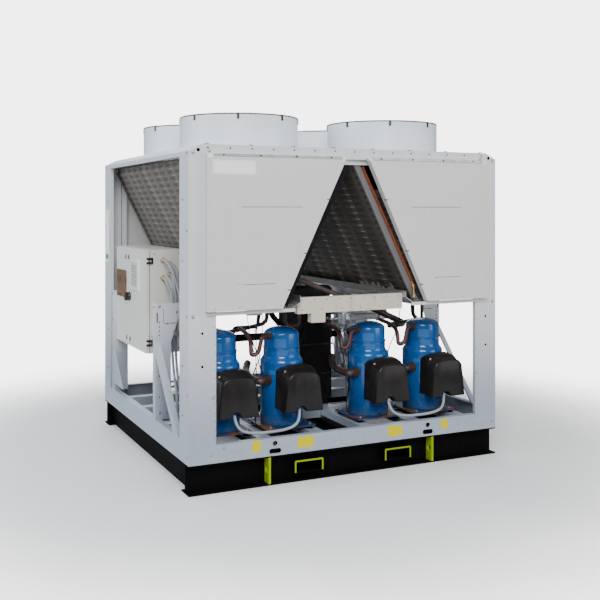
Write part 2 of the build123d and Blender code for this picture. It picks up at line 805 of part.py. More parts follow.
with BuildPart() as cables:
    for x, below_top, order, outer in gland_places:
        h = cabinet_top - below_top
        drop = duct_left + duct_wall + order * cable_pitch
        out = cabinet_front - cable_out[outer]
        end = duct_y + (0.5 - outer) * duct_width / 2
        tube([at(*point) for point in (
            (x, cabinet_front - gland_length, h), (x, cabinet_front - gland_length - 45, h),
            (0.7 * x + 0.3 * drop, out + 8, h - 50), (drop + 3, out, 1020 - 15 * order),
            (drop + 6, out - 4, 850), (drop - 2, out - 10, 640), (drop + 4, out - 30, 430),
            (drop, end, 290), (drop, end, duct_top))], cable_radius)
keep(cables, "cabinet_cables")

# Compressors: stepped shells with a domed top, on a plate with rubber feet
compressor_x = [pair + side * compressor_pitch / 2 for pair in pair_centres for side in (-1, 1)]
plate_low = deck_height + foot_height
shell_low = plate_low + plate_thickness
for number, place in enumerate(compressor_x, 1):
    x, y, base = at(place, compressor_y, 0)
    with BuildPart() as compressor:
        with BuildSketch(Plane.XZ):
            with BuildLine():
                foot = Line((0, shell_low), (shell_lower, shell_low))
                wall = Line(foot @ 1, (shell_lower, shoulder_low))
                shoulder = Spline(wall @ 1, (shell_upper, shoulder_high), tangents=((0, 1), (0, 1)))
                neck = Line(shoulder @ 1, (shell_upper, seam_height))
                bead = Line(neck @ 1, (shell_upper - seam_step, seam_height))
                head = Line(bead @ 1, (shell_upper - seam_step, dome_start))
                dome = EllipticalCenterArc((0, dome_start), shell_upper - seam_step,
                                           compressor_top - dome_start, start_angle=0, arc_size=90)
                Line(dome @ 1, foot @ 0)
            make_face()
        revolve(axis=Axis.Z)
        with BuildSketch(Plane.XY.offset(plate_low)):
            RectangleRounded(plate_size, plate_size, foot_radius)
        extrude(amount=plate_thickness)
        with GridLocations(foot_pitch, foot_pitch, 2, 2):
            with Locations((0, 0, deck_height + foot_height / 2)):
                Cylinder(foot_radius, foot_height)
        for h, radius, reach in ((discharge_height, discharge_radius, shell_upper),
                                 (suction_height, suction_radius, shell_lower)):
            with BuildSketch(Plane(origin=(0, 0, h), x_dir=(0, 0, 1),
                                   z_dir=(math.cos(math.radians(stub_angle)),
                                          math.sin(math.radians(stub_angle)), 0))):
                Circle(radius + stub_collar)
            extrude(amount=reach + stub_reach)
        compressor.part = compressor.part.moved(Location((x, y, base)))
    keep(compressor, f"compressor_{number}")

with BuildPart() as hoods:
    for place in compressor_x:
        x, y, base = at(place, compressor_y, 0)
        middle = x + hood_offset
        with BuildSketch(Plane.XZ.offset(half_y - hood_front)):
            with BuildLine():
                left, right = middle - hood_width / 2, middle + hood_width / 2
                low, high = base + hood_bottom, base + hood_bottom + hood_side_height
                Polyline((left, high), (left, low), (right, low), (right, high))
                ThreePointArc((left, high), (middle, high + hood_rise), (right, high))
            make_face()
            with Locations((middle - hood_notch / 2, low)):
                Circle(hood_notch, mode=Mode.SUBTRACT)
        extrude(amount=-hood_depth)
        with BuildSketch(Plane.XY.offset(base)):
            with Locations((x, y)):
                Circle(shell_lower + hood_gap)
        extrude(amount=compressor_top, mode=Mode.SUBTRACT)
keep(hoods, "terminal_hoods")

# Refrigerant pipes: a looped discharge and a suction pipe at each compressor
stub_x, stub_y = math.cos(math.radians(stub_angle)), math.sin(math.radians(stub_angle))


def from_stub(place, reach, height, steps):
    """Route that leaves a compressor's stub and then goes by steps in x, y and height."""
    x, y, h = place + reach * stub_x, compressor_y + reach * stub_y, height
    route = [at(x, y, h)]
    for step_x, step_y, step_h in steps:
        x, y, h = x + step_x, y + step_y, h + step_h
        route.append(at(x, y, h))
    return route


with BuildPart() as discharge:
    for place in compressor_x:
        tube(from_stub(place, shell_upper + stub_reach, discharge_height, (
            (50 * stub_x, 50 * stub_y, 0), (-30, -8, -110), (-50, 10, -20), (8, 30, 110),
            (20, 130, 30), (20, 190, 10))), discharge_radius)
keep(discharge, "discharge_pipes")

with BuildPart() as suction:
    for place in compressor_x:
        tube(from_stub(place, shell_lower + stub_reach, suction_height, (
            (55 * stub_x, 55 * stub_y, 0), (0, 190, 0), (40, 160, 20), (60, 110, 30))), suction_radius)
keep(suction, "suction_pipes")

# Evaporator with its water pipes, which end at grooved couplings on the right side
evaporator_mid = evaporator_y + evaporator_depth / 2
with BuildPart() as evaporator:
    with Locations(at(evaporator_x + evaporator_width / 2, evaporator_mid,
                      evaporator_bottom + evaporator_height / 2)):
        Box(evaporator_width, evaporator_depth, evaporator_height)
    fillet(evaporator.edges().filter_by(Axis.Z), evaporator_corner)
    for x in (evaporator_width / 5, evaporator_width * 4 / 5):
        with Locations(at(evaporator_x + x, evaporator_mid, (evaporator_bottom + deck_height) / 2)):
            Box(machine_rail_height, evaporator_depth * 0.9, evaporator_bottom - deck_height)
keep(evaporator, "evaporator")

water_end = length - water_setback
with BuildPart() as water_pipes:
    for h in water_heights:
        start = evaporator_x + evaporator_width
        tube([at(start, evaporator_mid, h), at(start + 280, evaporator_mid, h),
              at(start + 460, water_y, h), at(water_end, water_y, h)], water_radius)
        with BuildSketch(Plane.YZ.offset(water_end - pipe_seat - half_x)):
            with Locations((water_y - half_y, h + skid_height)):
                Circle(water_radius + pipe_groove_depth)
                Circle(water_radius - pipe_groove_depth, mode=Mode.SUBTRACT)
        extrude(amount=-pipe_groove, mode=Mode.SUBTRACT)
keep(water_pipes, "water_pipes")

with BuildPart() as couplings:
    for h in water_heights:
        with BuildSketch(Plane.YZ.offset(water_end - coupling_setback - half_x)):
            with Locations((water_y - half_y, h + skid_height)):
                Circle(coupling_radius)
                Circle(water_radius, mode=Mode.SUBTRACT)
        extrude(amount=coupling_width)
keep(couplings, "pipe_couplings")

with BuildPart() as boxes:
    for x, y, top in ((half_x - module_offset, tray_box_y, tray_bottom),
                      (half_x - beam_box_x, module_beam_front + box_size[1] / 2, module_beam_bottom)):
        with Locations(at(x, y, top - box_size[2] / 2)):
            Box(*box_size)
    fillet(boxes.edges().filter_by(Axis.Z), box_corner)
keep(boxes, "junction_boxes")

# Conduits that loop over the front rail from one terminal hood to the next
with BuildPart() as conduits:
    for left in (compressor_x[0], compressor_x[2]):
        start = left + hood_offset - hood_notch / 2
        across = compressor_pitch
        y = hood_front + hood_depth / 4
        tube([at(*point) for point in (
            (start, y, hood_bottom + hood_notch / 4), (start + 4, y - 12, 210), (start + 40, y - 35, 162),
            (start + 120, y - 46, 143), (start + across / 2, y - 50, 141), (start + across - 120, y - 47, 145),
            (start + across - 42, y - 36, 166), (start + across - 5, y - 13, 212),
            (start + across, y, hood_bottom + hood_notch / 4))], conduit_radius)
keep(conduits, "conduits")
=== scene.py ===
"""Looks of an air-cooled water chiller on a forklift skid: finishes, cables and fine pieces.

Everything is in metres in the frame of the carried model: X along the front, Y to the back, Z up.
"""

import math

import bmesh
import bpy
import numpy as np
from bpy.props import FloatProperty, FloatVectorProperty, PointerProperty
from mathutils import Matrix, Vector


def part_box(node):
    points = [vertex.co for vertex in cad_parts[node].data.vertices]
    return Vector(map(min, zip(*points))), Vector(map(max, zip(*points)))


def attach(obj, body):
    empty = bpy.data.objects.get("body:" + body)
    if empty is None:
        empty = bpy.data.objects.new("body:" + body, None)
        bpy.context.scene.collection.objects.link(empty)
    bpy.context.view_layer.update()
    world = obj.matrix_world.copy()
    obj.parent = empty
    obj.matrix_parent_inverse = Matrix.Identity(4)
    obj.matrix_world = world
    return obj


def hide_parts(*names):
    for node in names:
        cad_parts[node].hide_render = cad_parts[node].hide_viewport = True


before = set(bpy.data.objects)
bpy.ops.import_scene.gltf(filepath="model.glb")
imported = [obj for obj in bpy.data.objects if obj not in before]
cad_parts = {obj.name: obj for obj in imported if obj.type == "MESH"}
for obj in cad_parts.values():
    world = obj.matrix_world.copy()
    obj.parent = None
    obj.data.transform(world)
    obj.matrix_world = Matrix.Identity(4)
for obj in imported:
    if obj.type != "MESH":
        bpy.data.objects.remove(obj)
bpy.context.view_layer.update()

bl_info = {
    "name": "Water Chiller Looks",
    "version": (1, 0, 0),
    "blender": (4, 5, 0),
    "location": "View3D > Sidebar > Chiller",
    "description": "Finishes, cables and fine pieces of a water chiller on a skid",
    "category": "Object",
}

# Places read from the carried model
half_x, half_y, skid_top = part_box("skid_end_beams")[1]
roof_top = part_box("roof_end_beams")[1].z
panel_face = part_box("end_panels_front")[0].y
panel_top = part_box("end_panels_front")[1].z
panel_faces = (("front", panel_face), ("back", -panel_face))
compressors = [f"compressor_{number}" for number in range(1, 5)]
cowls = [f"fan_cowl_{number}" for number in range(1, 5)]

# A compressor's axis, in from the far corner of its box, and its hood's middle to the right of the axis
axis_in, hood_aside = 0.188, 0.043

# Front and top of the cabinet, and its cable glands: from the left side, and down from the top
cabinet_front, cabinet_top = 1.05, 1.335
glands = ((0.146, 0.078), (0.2, 0.102), (0.146, 0.21), (0.2, 0.187))

# Thickness of a coil, measured level
coil_thick = 0.049

# Camera, as the photograph was taken
camera_place = (-3.0296, -6.5877, 1.8276)
camera_turn = -0.4457
camera_lens = 53.97
camera_shift = -0.1506

# Light of the room on the object, and how bright its walls look
ROOM_LIGHT = 0.24
SEEN_BACKDROP = 5.0

ROUND = 24
FINE_ROUND = 64


def at(x, y, h):
    """Point from body corner distances in metres: x from the left, y from the front, h over the skid."""
    return np.array((x - half_x, y - half_y, h + skid_top))


# Surfaces: every closed form is a stack of rings with the same number of points


def ring(count, start=0.0):
    """Points of a unit circle, counterclockwise: cosine and sine of evenly spaced angles."""
    angles = start + np.arange(count) * 2 * math.pi / count
    return np.stack([np.cos(angles), np.sin(angles)], -1)


def rounded_rectangle(width, height, corner, steps=4):
    """Outline of four quarter circles whose centres stand a corner radius in from the sides."""
    turn = np.linspace(0, math.pi / 2, steps)
    arcs = []
    for quarter, (sx, sy) in enumerate(((1, 1), (-1, 1), (-1, -1), (1, -1))):
        angles = turn + quarter * math.pi / 2
        centre = (sx * (width / 2 - corner), sy * (height / 2 - corner))
        arcs.append(np.stack([np.cos(angles), np.sin(angles)], -1) * corner + centre)
    return np.concatenate(arcs)


def skin(rings, caps=True, loop=False):
    """Points and faces of a stack of rings (rows, count, 3): quads between neighbouring rings.

    A cap is a strip that pairs point i with point count - 1 - i of the end ring. A loop joins the
    last ring to the first instead, as on a torus.
    """
    rings = np.asarray(rings, float)
    rows, count = rings.shape[:2]
    row = np.arange(rows if loop else rows - 1)[:, None]
    column = np.arange(count)[None, :]
    above, beside = (row + 1) % rows, (column + 1) % count
    quads = np.stack([row * count + column, row * count + beside,
                      above * count + beside, above * count + column], -1).reshape(-1, 4)
    if caps and not loop:
        i = np.arange(count // 2 - 1)
        strip = np.stack([i, i + 1, count - 2 - i, count - 1 - i], -1)
        quads = np.concatenate([quads, strip[:, ::-1], strip + (rows - 1) * count])
    return rings.reshape(-1, 3), quads


def placed(outline, value, axis=2):
    """Outline (count, 2) in space: the third coordinate is the same for all of its points."""
    return np.insert(np.asarray(outline, float), axis, value, axis=1)


def loft(outline, levels):
    """Outline (count, 2) drawn at each level (inset, height): sides move in by inset, then rise along z."""
    half = np.abs(outline).max(0)
    return skin([placed(outline * (1 - inset / half), height) for inset, height in levels])


def lathe(profile, count=ROUND, loop=False):
    """Profile of (radius, height) points turned about z: each point becomes a circle of that radius."""
    circle = ring(count)
    return skin([placed(circle * radius, height) for radius, height in profile], loop=loop)


def slab(width, height, thickness, corner=0.002, edge=0.0006):
    """Flat plate with rounded corners and a small edge bevel, its back on z = 0."""
    edge = min(edge, thickness / 2)
    return loft(rounded_rectangle(width, height, corner),
                ((0, 0), (0, thickness - edge), (edge, thickness)))


def bevelled(size, edge=0.002):
    """Block about its own centre, with all of its edges broken."""
    x, y, z = size
    return loft(rounded_rectangle(x, y, edge, 3),
                ((edge, -z / 2), (0, -z / 2 + edge), (0, z / 2 - edge), (edge, z / 2)))


def sweep(path, radius, count=12, loop=False):
    """Round section carried along a path: rings square to its direction, radius one value or one a point."""
    path = np.asarray(path, float)
    if loop:
        along = np.roll(path, -1, 0) - np.roll(path, 1, 0)
    else:
        along = np.gradient(path, axis=0)
    along /= np.linalg.norm(along, axis=1)[:, None]
    side = np.cross(along, (0.131, 0.217, 0.967))
    side /= np.linalg.norm(side, axis=1)[:, None]
    up = np.cross(side, along)
    circle = ring(count)
    across = circle[None, :, :1] * side[:, None] + circle[None, :, 1:] * up[:, None]
    thick = np.broadcast_to(radius, len(path))[:, None, None]
    return skin(path[:, None] + across * thick, loop=loop)


def bend(points, radius, steps=7):
    """Path of straight runs whose corners are parabolas that start and end a radius from the corner."""
    points = np.asarray(points, float)
    t = np.linspace(0, 1, steps)[:, None]
    path = [points[:1]]
    for before, corner, after in zip(points, points[1:], points[2:]):
        back, on = before - corner, after - corner
        reach = min(radius, np.linalg.norm(back) / 2, np.linalg.norm(on) / 2)
        start = corner + back / np.linalg.norm(back) * reach
        end = corner + on / np.linalg.norm(on) * reach
        path.append((1 - t) ** 2 * start + 2 * t * (1 - t) * corner + t ** 2 * end)
    path.append(points[-1:])
    return np.concatenate(path)


FACING = {
    "front": ((1, 0, 0), (0, 0, 1)), "back": ((-1, 0, 0), (0, 0, 1)),
    "left": ((0, -1, 0), (0, 0, 1)), "right": ((0, 1, 0), (0, 0, 1)),
    "up": ((1, 0, 0), (0, 1, 0)),
}


def stamp(part, places, facing="up"):
    """Copies of a part at many places, its z turned to the side that it faces."""
    points, quads = part
    across, high = (np.array(v, float) for v in FACING[facing])
    turned = points @ np.stack([across, high, np.cross(across, high)])
    places = np.atleast_2d(np.asarray(places, float))
    shift = np.arange(len(places))[:, None, None] * len(points)
    return (turned[None] + places[:, None]).reshape(-1, 3), (quads[None] + shift).reshape(-1, 4)


def upright(part, x, y, heights, facing):
    """Copies of a part above each other, at heights over the skid."""
    return stamp(part, [(x, y, h + skid_top) for h in heights], facing)


def turned(part, angle, about=(0.0, 0.0)):
    """Part turned round an upright axis: x and y mix by the cosine and sine of the angle."""
    points, quads = part
    c, s = math.cos(angle), math.sin(angle)
    moved = points.copy()
    moved[:, :2] = (points[:, :2] - about) @ np.array(((c, s), (-s, c))) + about
    return moved, quads


def leaned(part, angle):
    """Part turned round the Y axis, so that its upright edge leans towards +X by the angle."""
    points, quads = part
    c, s = math.cos(angle), math.sin(angle)
    return points @ np.array(((c, 0, -s), (0, 1, 0), (s, 0, c))), quads


def joined(parts):
    """One list of points and one of faces from several parts."""
    starts = np.cumsum([0] + [len(points) for points, _ in parts[:-1]])
    return (np.concatenate([points for points, _ in parts]),
            np.concatenate([quads + start for (_, quads), start in zip(parts, starts)]))


def solid(name, part, finish):
    """Object with a mesh of one finish, which rides on nothing yet."""
    points, quads = part
    mesh = bpy.data.meshes.new(name)
    mesh.from_pydata(points.tolist(), [], quads.tolist())
    mesh.materials.append(finish)
    made = bpy.data.objects.new(name, mesh)
    bpy.context.scene.collection.objects.link(made)
    return made


def piece(name, parts, finish, body="frame", replaces=(), sharp=38):
    """Mesh in a named finish, with its poles closed and its faces turned outwards, that rides on a body."""
    made = solid(name, joined(parts) if isinstance(parts, list) else parts, finishes[finish])
    mesh = made.data
    work = bmesh.new()
    work.from_mesh(mesh)
    bmesh.ops.remove_doubles(work, verts=work.verts, dist=1e-6)
    bmesh.ops.recalc_face_normals(work, faces=work.faces)
    work.to_mesh(mesh)
    work.free()
    mesh.polygons.foreach_set("use_smooth", np.ones(len(mesh.polygons), bool))
    mesh.set_sharp_from_angle(angle=math.radians(sharp))
    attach(made, body)
    if replaces:
        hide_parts(*replaces)
    return made


def fastener(radius, height, sides=6):
    """Hexagon head on a round washer."""
    washer = lathe(((radius * 1.5, 0), (radius * 1.5, height * 0.25), (radius * 1.3, height * 0.3)), 12)
    head = lathe(((radius, height * 0.3), (radius, height * 0.85), (radius * 0.8, height)), sides)
    return joined([washer, head])


def dark_hole(radius):
    """Low disc with a soft rim, for the shadow of a small hole."""
    return lathe(((radius, 0), (radius, 0.0003), (radius * 0.86, 0.0006)), 16)


# Finishes


class Wire:
    """A value in a shader. Sums on it become Math nodes."""

    def __init__(self, finish, socket):
        self.finish, self.socket = finish, socket

    def maths(self, operation, first, second=0.0):
        return self.finish.node("ShaderNodeMath", {"operation": operation}, {0: first, 1: second})

    def __add__(self, other):
        return self.maths("ADD", self, other)

    def __sub__(self, other):
        return self.maths("SUBTRACT", self, other)

    def __mul__(self, other):
        return self.maths("MULTIPLY", self, other)

    def __truediv__(self, other):
        return self.maths("DIVIDE", self, other)

    def __rsub__(self, other):
        return self.maths("SUBTRACT", other, self)

    __radd__, __rmul__ = __add__, __mul__

    def part(self):
        """What is left over the whole number below."""
        return self.maths("FRACT", self)

    def size(self):
        return self.maths("ABSOLUTE", self)

    def wave(self):
        return self.maths("SINE", self)

    def below(self, limit):
        return self.maths("LESS_THAN", self, limit)

    def root(self):
        return self.maths("SQRT", self)

    def rise(self, low, high):
        """Smooth step from 0 at low to 1 at high."""
        return self.finish.node("ShaderNodeMapRange", {"interpolation_type": "SMOOTHSTEP"},
                                {0: self, 1: low, 2: high, 3: 0.0, 4: 1.0})


class Finish:
    """A material with one Principled shader and the nodes that feed it."""

    def __init__(self, name, **values):
        self.material = bpy.data.materials.new(name)
        self.material.use_nodes = True
        self.tree = self.material.node_tree
        self.shader = self.tree.nodes["Principled BSDF"]
        for key, value in values.items():
            self.set(key.replace("_", " "), value)

    def set(self, key, value):
        socket = self.shader.inputs[key]
        if isinstance(value, Wire):
            self.tree.links.new(value.socket, socket)
        else:
            socket.default_value = rgba(value)
        return self

    def node(self, kind, settings=None, inputs=None, output=0):
        made = self.tree.nodes.new(kind)
        for key, value in (settings or {}).items():
            setattr(made, key, value)
        for key, value in (inputs or {}).items():
            if isinstance(value, Wire):
                self.tree.links.new(value.socket, made.inputs[key])
            else:
                made.inputs[key].default_value = rgba(value)
        return Wire(self, made.outputs[output])

    def place(self):
        """Where a point is on the object, in metres."""
        return self.node("ShaderNodeTexCoord", output=3)

    def axes(self):
        split = self.node("ShaderNodeSeparateXYZ", inputs={0: self.place()}).socket.node
        return [Wire(self, socket) for socket in split.outputs]

    def noise(self, scale, detail=3.0, stretch=(1.0, 1.0, 1.0)):
        """Cloud of the given scale, in clouds a metre, stretched by a factor along each axis."""
        spot = self.place()
        if stretch != (1.0, 1.0, 1.0):
            spot = self.node("ShaderNodeVectorMath", {"operation": "MULTIPLY"}, {0: spot, 1: stretch})
        return self.node("ShaderNodeTexNoise",
                         inputs={"Vector": spot, "Scale": scale, "Detail": detail, "Roughness": 0.55})

    def mix(self, first, second, factor):
        """Colour that goes from the first to the second as the factor goes from 0 to 1."""
        return self.node("ShaderNodeMix", {"data_type": "RGBA"}, {0: factor, 6: first, 7: second}, 2)

    def bump(self, height, distance, strength=1.0):
        self.set("Normal", self.node("ShaderNodeBump", inputs={
            "Height": height, "Distance": distance, "Strength": strength}))
        return self


def rgba(value):
    """Three numbers are a colour and get a fourth for opacity, but a stretch or a single number stays."""
    if isinstance(value, tuple) and len(value) == 3 and not isinstance(value, Stretch):
        return (*value, 1.0)
    return value


class Stretch(tuple):
    """Three factors along the axes, kept apart from colours."""


def coated(name, colour, rough=0.42, grime=0.35, soil=(0.16, 0.12, 0.085), dust_and_low_shade=0.0, rust=0.0,
           peel=0.06, sheen=0.5):
    """Paint with an orange-peel surface, run-down streaks, grime clouds, painted shade low down and rust
    spots.
    """
    finish = Finish(name)
    cloud = finish.noise(2.6, 5.0)
    speck = finish.noise(34.0, 4.0)
    streak = finish.noise(1.0, 4.0, Stretch((24.0, 24.0, 1.3)))
    dirt = (streak.rise(0.5, 0.78) * 0.55 + cloud.rise(0.48, 0.8) * 0.45 + speck.rise(0.6, 0.8) * 0.3) * grime
    shade = finish.mix(colour, soil, dirt)
    # Bluish grey towards the bottom, slightly mottled: painted shade of the low parts
    if dust_and_low_shade:
        height = finish.axes()[2]
        low = (1 - height.rise(0.3, 1.15)) * (speck.rise(0.35, 0.65) * 0.08 + 0.92) * dust_and_low_shade
        shade = finish.mix(shade, (0.24, 0.29, 0.37), low)
    if rust:
        spot = finish.noise(19.0, 6.0).rise(0.58, 0.66) * rust
        shade = finish.mix(shade, (0.2, 0.065, 0.02), spot)
    finish.set("Base Color", shade)
    finish.set("Roughness", cloud * 0.14 + (rough - 0.07) + dirt * 0.25)
    finish.set("Specular IOR Level", sheen)
    return finish.bump(finish.noise(380.0, 1.0), 0.0004, peel).material


def metal(name, colour, rough=0.35, grain=(1.0, 1.0, 1.0), tarnish=(0.1, 0.06, 0.04), worn=0.4):
    """Bare metal with a grain, clouds of tarnish and small scratches."""
    finish = Finish(name)
    cloud = finish.noise(16.0, 5.0)
    lines = finish.noise(60.0, 3.0, Stretch(grain))
    dull = cloud.rise(0.42, 0.72) * worn
    shade = finish.mix(colour, tarnish, dull)
    finish.set("Base Color", finish.mix(shade, (0.75, 0.74, 0.72), lines.rise(0.6, 0.8) * 0.18))
    finish.set("Metallic", 1 - dull * 0.55)
    finish.set("Roughness", lines * 0.22 + (rough - 0.08) + dull * 0.25)
    return finish.bump(lines, 0.0003, 0.2).material


def moulded(name, colour, rough=0.45, grain=240.0, depth=0.18, dust_and_low_shade=0.25, coat=0.0, sheen=0.3):
    """Plastic or rubber with a moulded grain and settled dust."""
    finish = Finish(name)
    cloud = finish.noise(9.0, 5.0)
    skin_grain = finish.noise(grain, 2.0)
    settled = cloud.rise(0.45, 0.8) * dust_and_low_shade
    finish.set("Base Color", finish.mix(colour, (0.26, 0.23, 0.19), settled))
    finish.set("Roughness", cloud * 0.16 + (rough - 0.08) + settled * 0.3)
    finish.set("Specular IOR Level", sheen)
    if coat:
        finish.set("Coat Weight", coat)
        finish.set("Coat Roughness", 0.12)
    return finish.bump(skin_grain, 0.0005, depth).material


def coil_face(name):
    """Finned face between flat tubes: level rows with dark blocks, and light dashes in columns up the slope.

    A row is a pair of tubes. The dashes stand at the same depth in every row. The outer faces, far from
    the middle, have fainter columns in between, and are paler with weaker blocks: painted light.
    """
    row_height, block_length, dash_spacing, first_dash = 0.045, 0.175, 0.35, 0.3614
    finish = Finish(name)
    x, y, z = finish.axes()
    in_row = (z / row_height).part()
    in_block = (y / block_length + 2 * first_dash).part()
    in_dash = (y / dash_spacing + first_dash).part()
    cloud = finish.noise(1.7, 4.0)
    patch = finish.noise(23.0, 3.0)
    band = finish.noise(1.0, 3.0, Stretch((0.2, 6.5, 0.35)))
    tube = (z * 2 / row_height).part().below(0.3)
    block = in_row.rise(0.2, 0.35) * (1 - in_row.rise(0.85, 1.0)) * in_block.rise(0.28, 0.36)
    block = block * (1 - in_block.rise(0.86, 0.95))
    # How far out a point lies: the outer faces catch the light that the middle ones miss
    lit_outer_faces = x.size().rise(0.3, 0.75)
    between = (y * 2 / dash_spacing + first_dash).part().below(0.22)
    columns = in_dash.below(0.19) * (1 - lit_outer_faces * 0.4) + between * lit_outer_faces * 0.35
    dash = in_row.below(0.12) * columns * (0.3 + patch)
    shade = finish.mix((0.085, 0.07, 0.06), (0.2, 0.175, 0.15), band.rise(0.47, 0.7) * 0.75)
    # Painted light: the outer faces paler and their dark blocks weaker
    shade = finish.mix(shade, (0.34, 0.3, 0.27), lit_outer_faces * 0.45)
    shade = finish.mix(shade, (0.022, 0.018, 0.017), (block * 0.62 + tube * 0.3) * (1 - lit_outer_faces * 0.3))
    shade = finish.mix(shade, (0.2, 0.16, 0.12), cloud.rise(0.5, 0.8) * 0.25 + patch.rise(0.55, 0.8) * 0.15)
    finish.set("Base Color", finish.mix(shade, (0.6, 0.57, 0.52), dash))
    finish.set("Metallic", dash * 0.3 + 0.2)
    finish.set("Roughness", 0.55 - dash * 0.15)
    fins = (y * 2 * math.pi / 0.0032).wave() * 0.12
    return finish.bump(tube * 0.8 - block * 0.6 + dash * 0.5 + fins, 0.003, 0.5).material


def enamel(name, colour):
    """Glossy blue shell paint, dusty and rusty towards its foot."""
    finish = Finish(name)
    height = finish.axes()[2]
    cloud = finish.noise(7.0, 5.0)
    speck = finish.noise(46.0, 5.0)
    low = 1 - height.rise(0.3, 0.42)
    rust = low * speck.rise(0.47, 0.6) * cloud.rise(0.4, 0.6)
    shade = finish.mix(colour, (0.002, 0.115, 0.42), cloud.rise(0.4, 0.7) * 0.4)
    shade = finish.mix(shade, (0.05, 0.13, 0.24), low * speck.rise(0.3, 0.6) * 0.6)
    finish.set("Base Color", finish.mix(shade, (0.19, 0.075, 0.03), rust * 0.85))
    finish.set("Roughness", cloud * 0.12 + 0.16 + low * 0.35 + rust * 0.3)
    finish.set("Coat Weight", 0.5)
    finish.set("Coat Roughness", 0.06)
    return finish.bump(finish.noise(150.0, 1.0), 0.0004, 0.05).material


def foot_plate(name, colour):
    """Blue plate with pools of rust, oil and dust."""
    finish = Finish(name)
    cloud = finish.noise(11.0, 5.0)
    speck = finish.noise(52.0, 5.0)
    shade = finish.mix(colour, (0.16, 0.065, 0.028), cloud.rise(0.47, 0.57))
    shade = finish.mix(shade, (0.035, 0.03, 0.03), speck.rise(0.55, 0.7) * 0.8)
    finish.set("Base Color", shade)
    finish.set("Roughness", 0.75 - cloud * 0.35)
    return finish.bump(speck, 0.001, 0.4).material


def hood_plastic(name, colour):
    """Dark moulded plastic with a fine grain and a soft sheen, dusty in clouds."""
    finish = Finish(name)
    cloud = finish.noise(6.0, 4.0)
    finish.set("Base Color", finish.mix(colour, (0.024, 0.021, 0.02), cloud.rise(0.35, 0.8) * 0.6))
    finish.set("Roughness", cloud * 0.15 + 0.26)
    finish.set("Specular IOR Level", 0.22)
    return finish.bump(finish.noise(420.0, 2.0), 0.0004, 0.22).material


def pipe_paint(name, colour, soil=(0.05, 0.035, 0.03)):
    """Painted or oxidised pipe with blotches along it."""
    finish = Finish(name)
    cloud = finish.noise(26.0, 4.0)
    finish.set("Base Color", finish.mix(colour, soil, cloud.rise(0.42, 0.7) * 0.65))
    finish.set("Metallic", 0.25)
    finish.set("Roughness", cloud * 0.3 + 0.28)
    return finish.bump(finish.noise(180.0, 2.0), 0.0004, 0.15).material


def window_sheet(name, colour):
    """Brown tinted window with a soft shadow of the switchgear behind it."""
    finish = Finish(name)
    _, y, z = finish.axes()
    bars = ((z * 46.0).wave()).rise(0.2, 0.7) * ((y * 30.0).wave()).rise(-0.6, 0.1)
    finish.set("Base Color", finish.mix(colour, (0.04, 0.026, 0.018), bars * 0.6))
    finish.set("Roughness", 0.3)
    finish.set("Specular IOR Level", 0.25)
    return finish.material


def floor_paint(name, colour):
    """Pale floor that runs out softly into the backdrop, as its cover falls with the distance."""
    finish = Finish(name, Base_Color=colour, Roughness=0.8)
    x, y, _ = finish.axes()
    far = (x * x + y * y).root()
    finish.set("Alpha", 1 - (far + finish.noise(0.8, 2.0) * 0.4).rise(1.7, 4.6))
    return finish.material


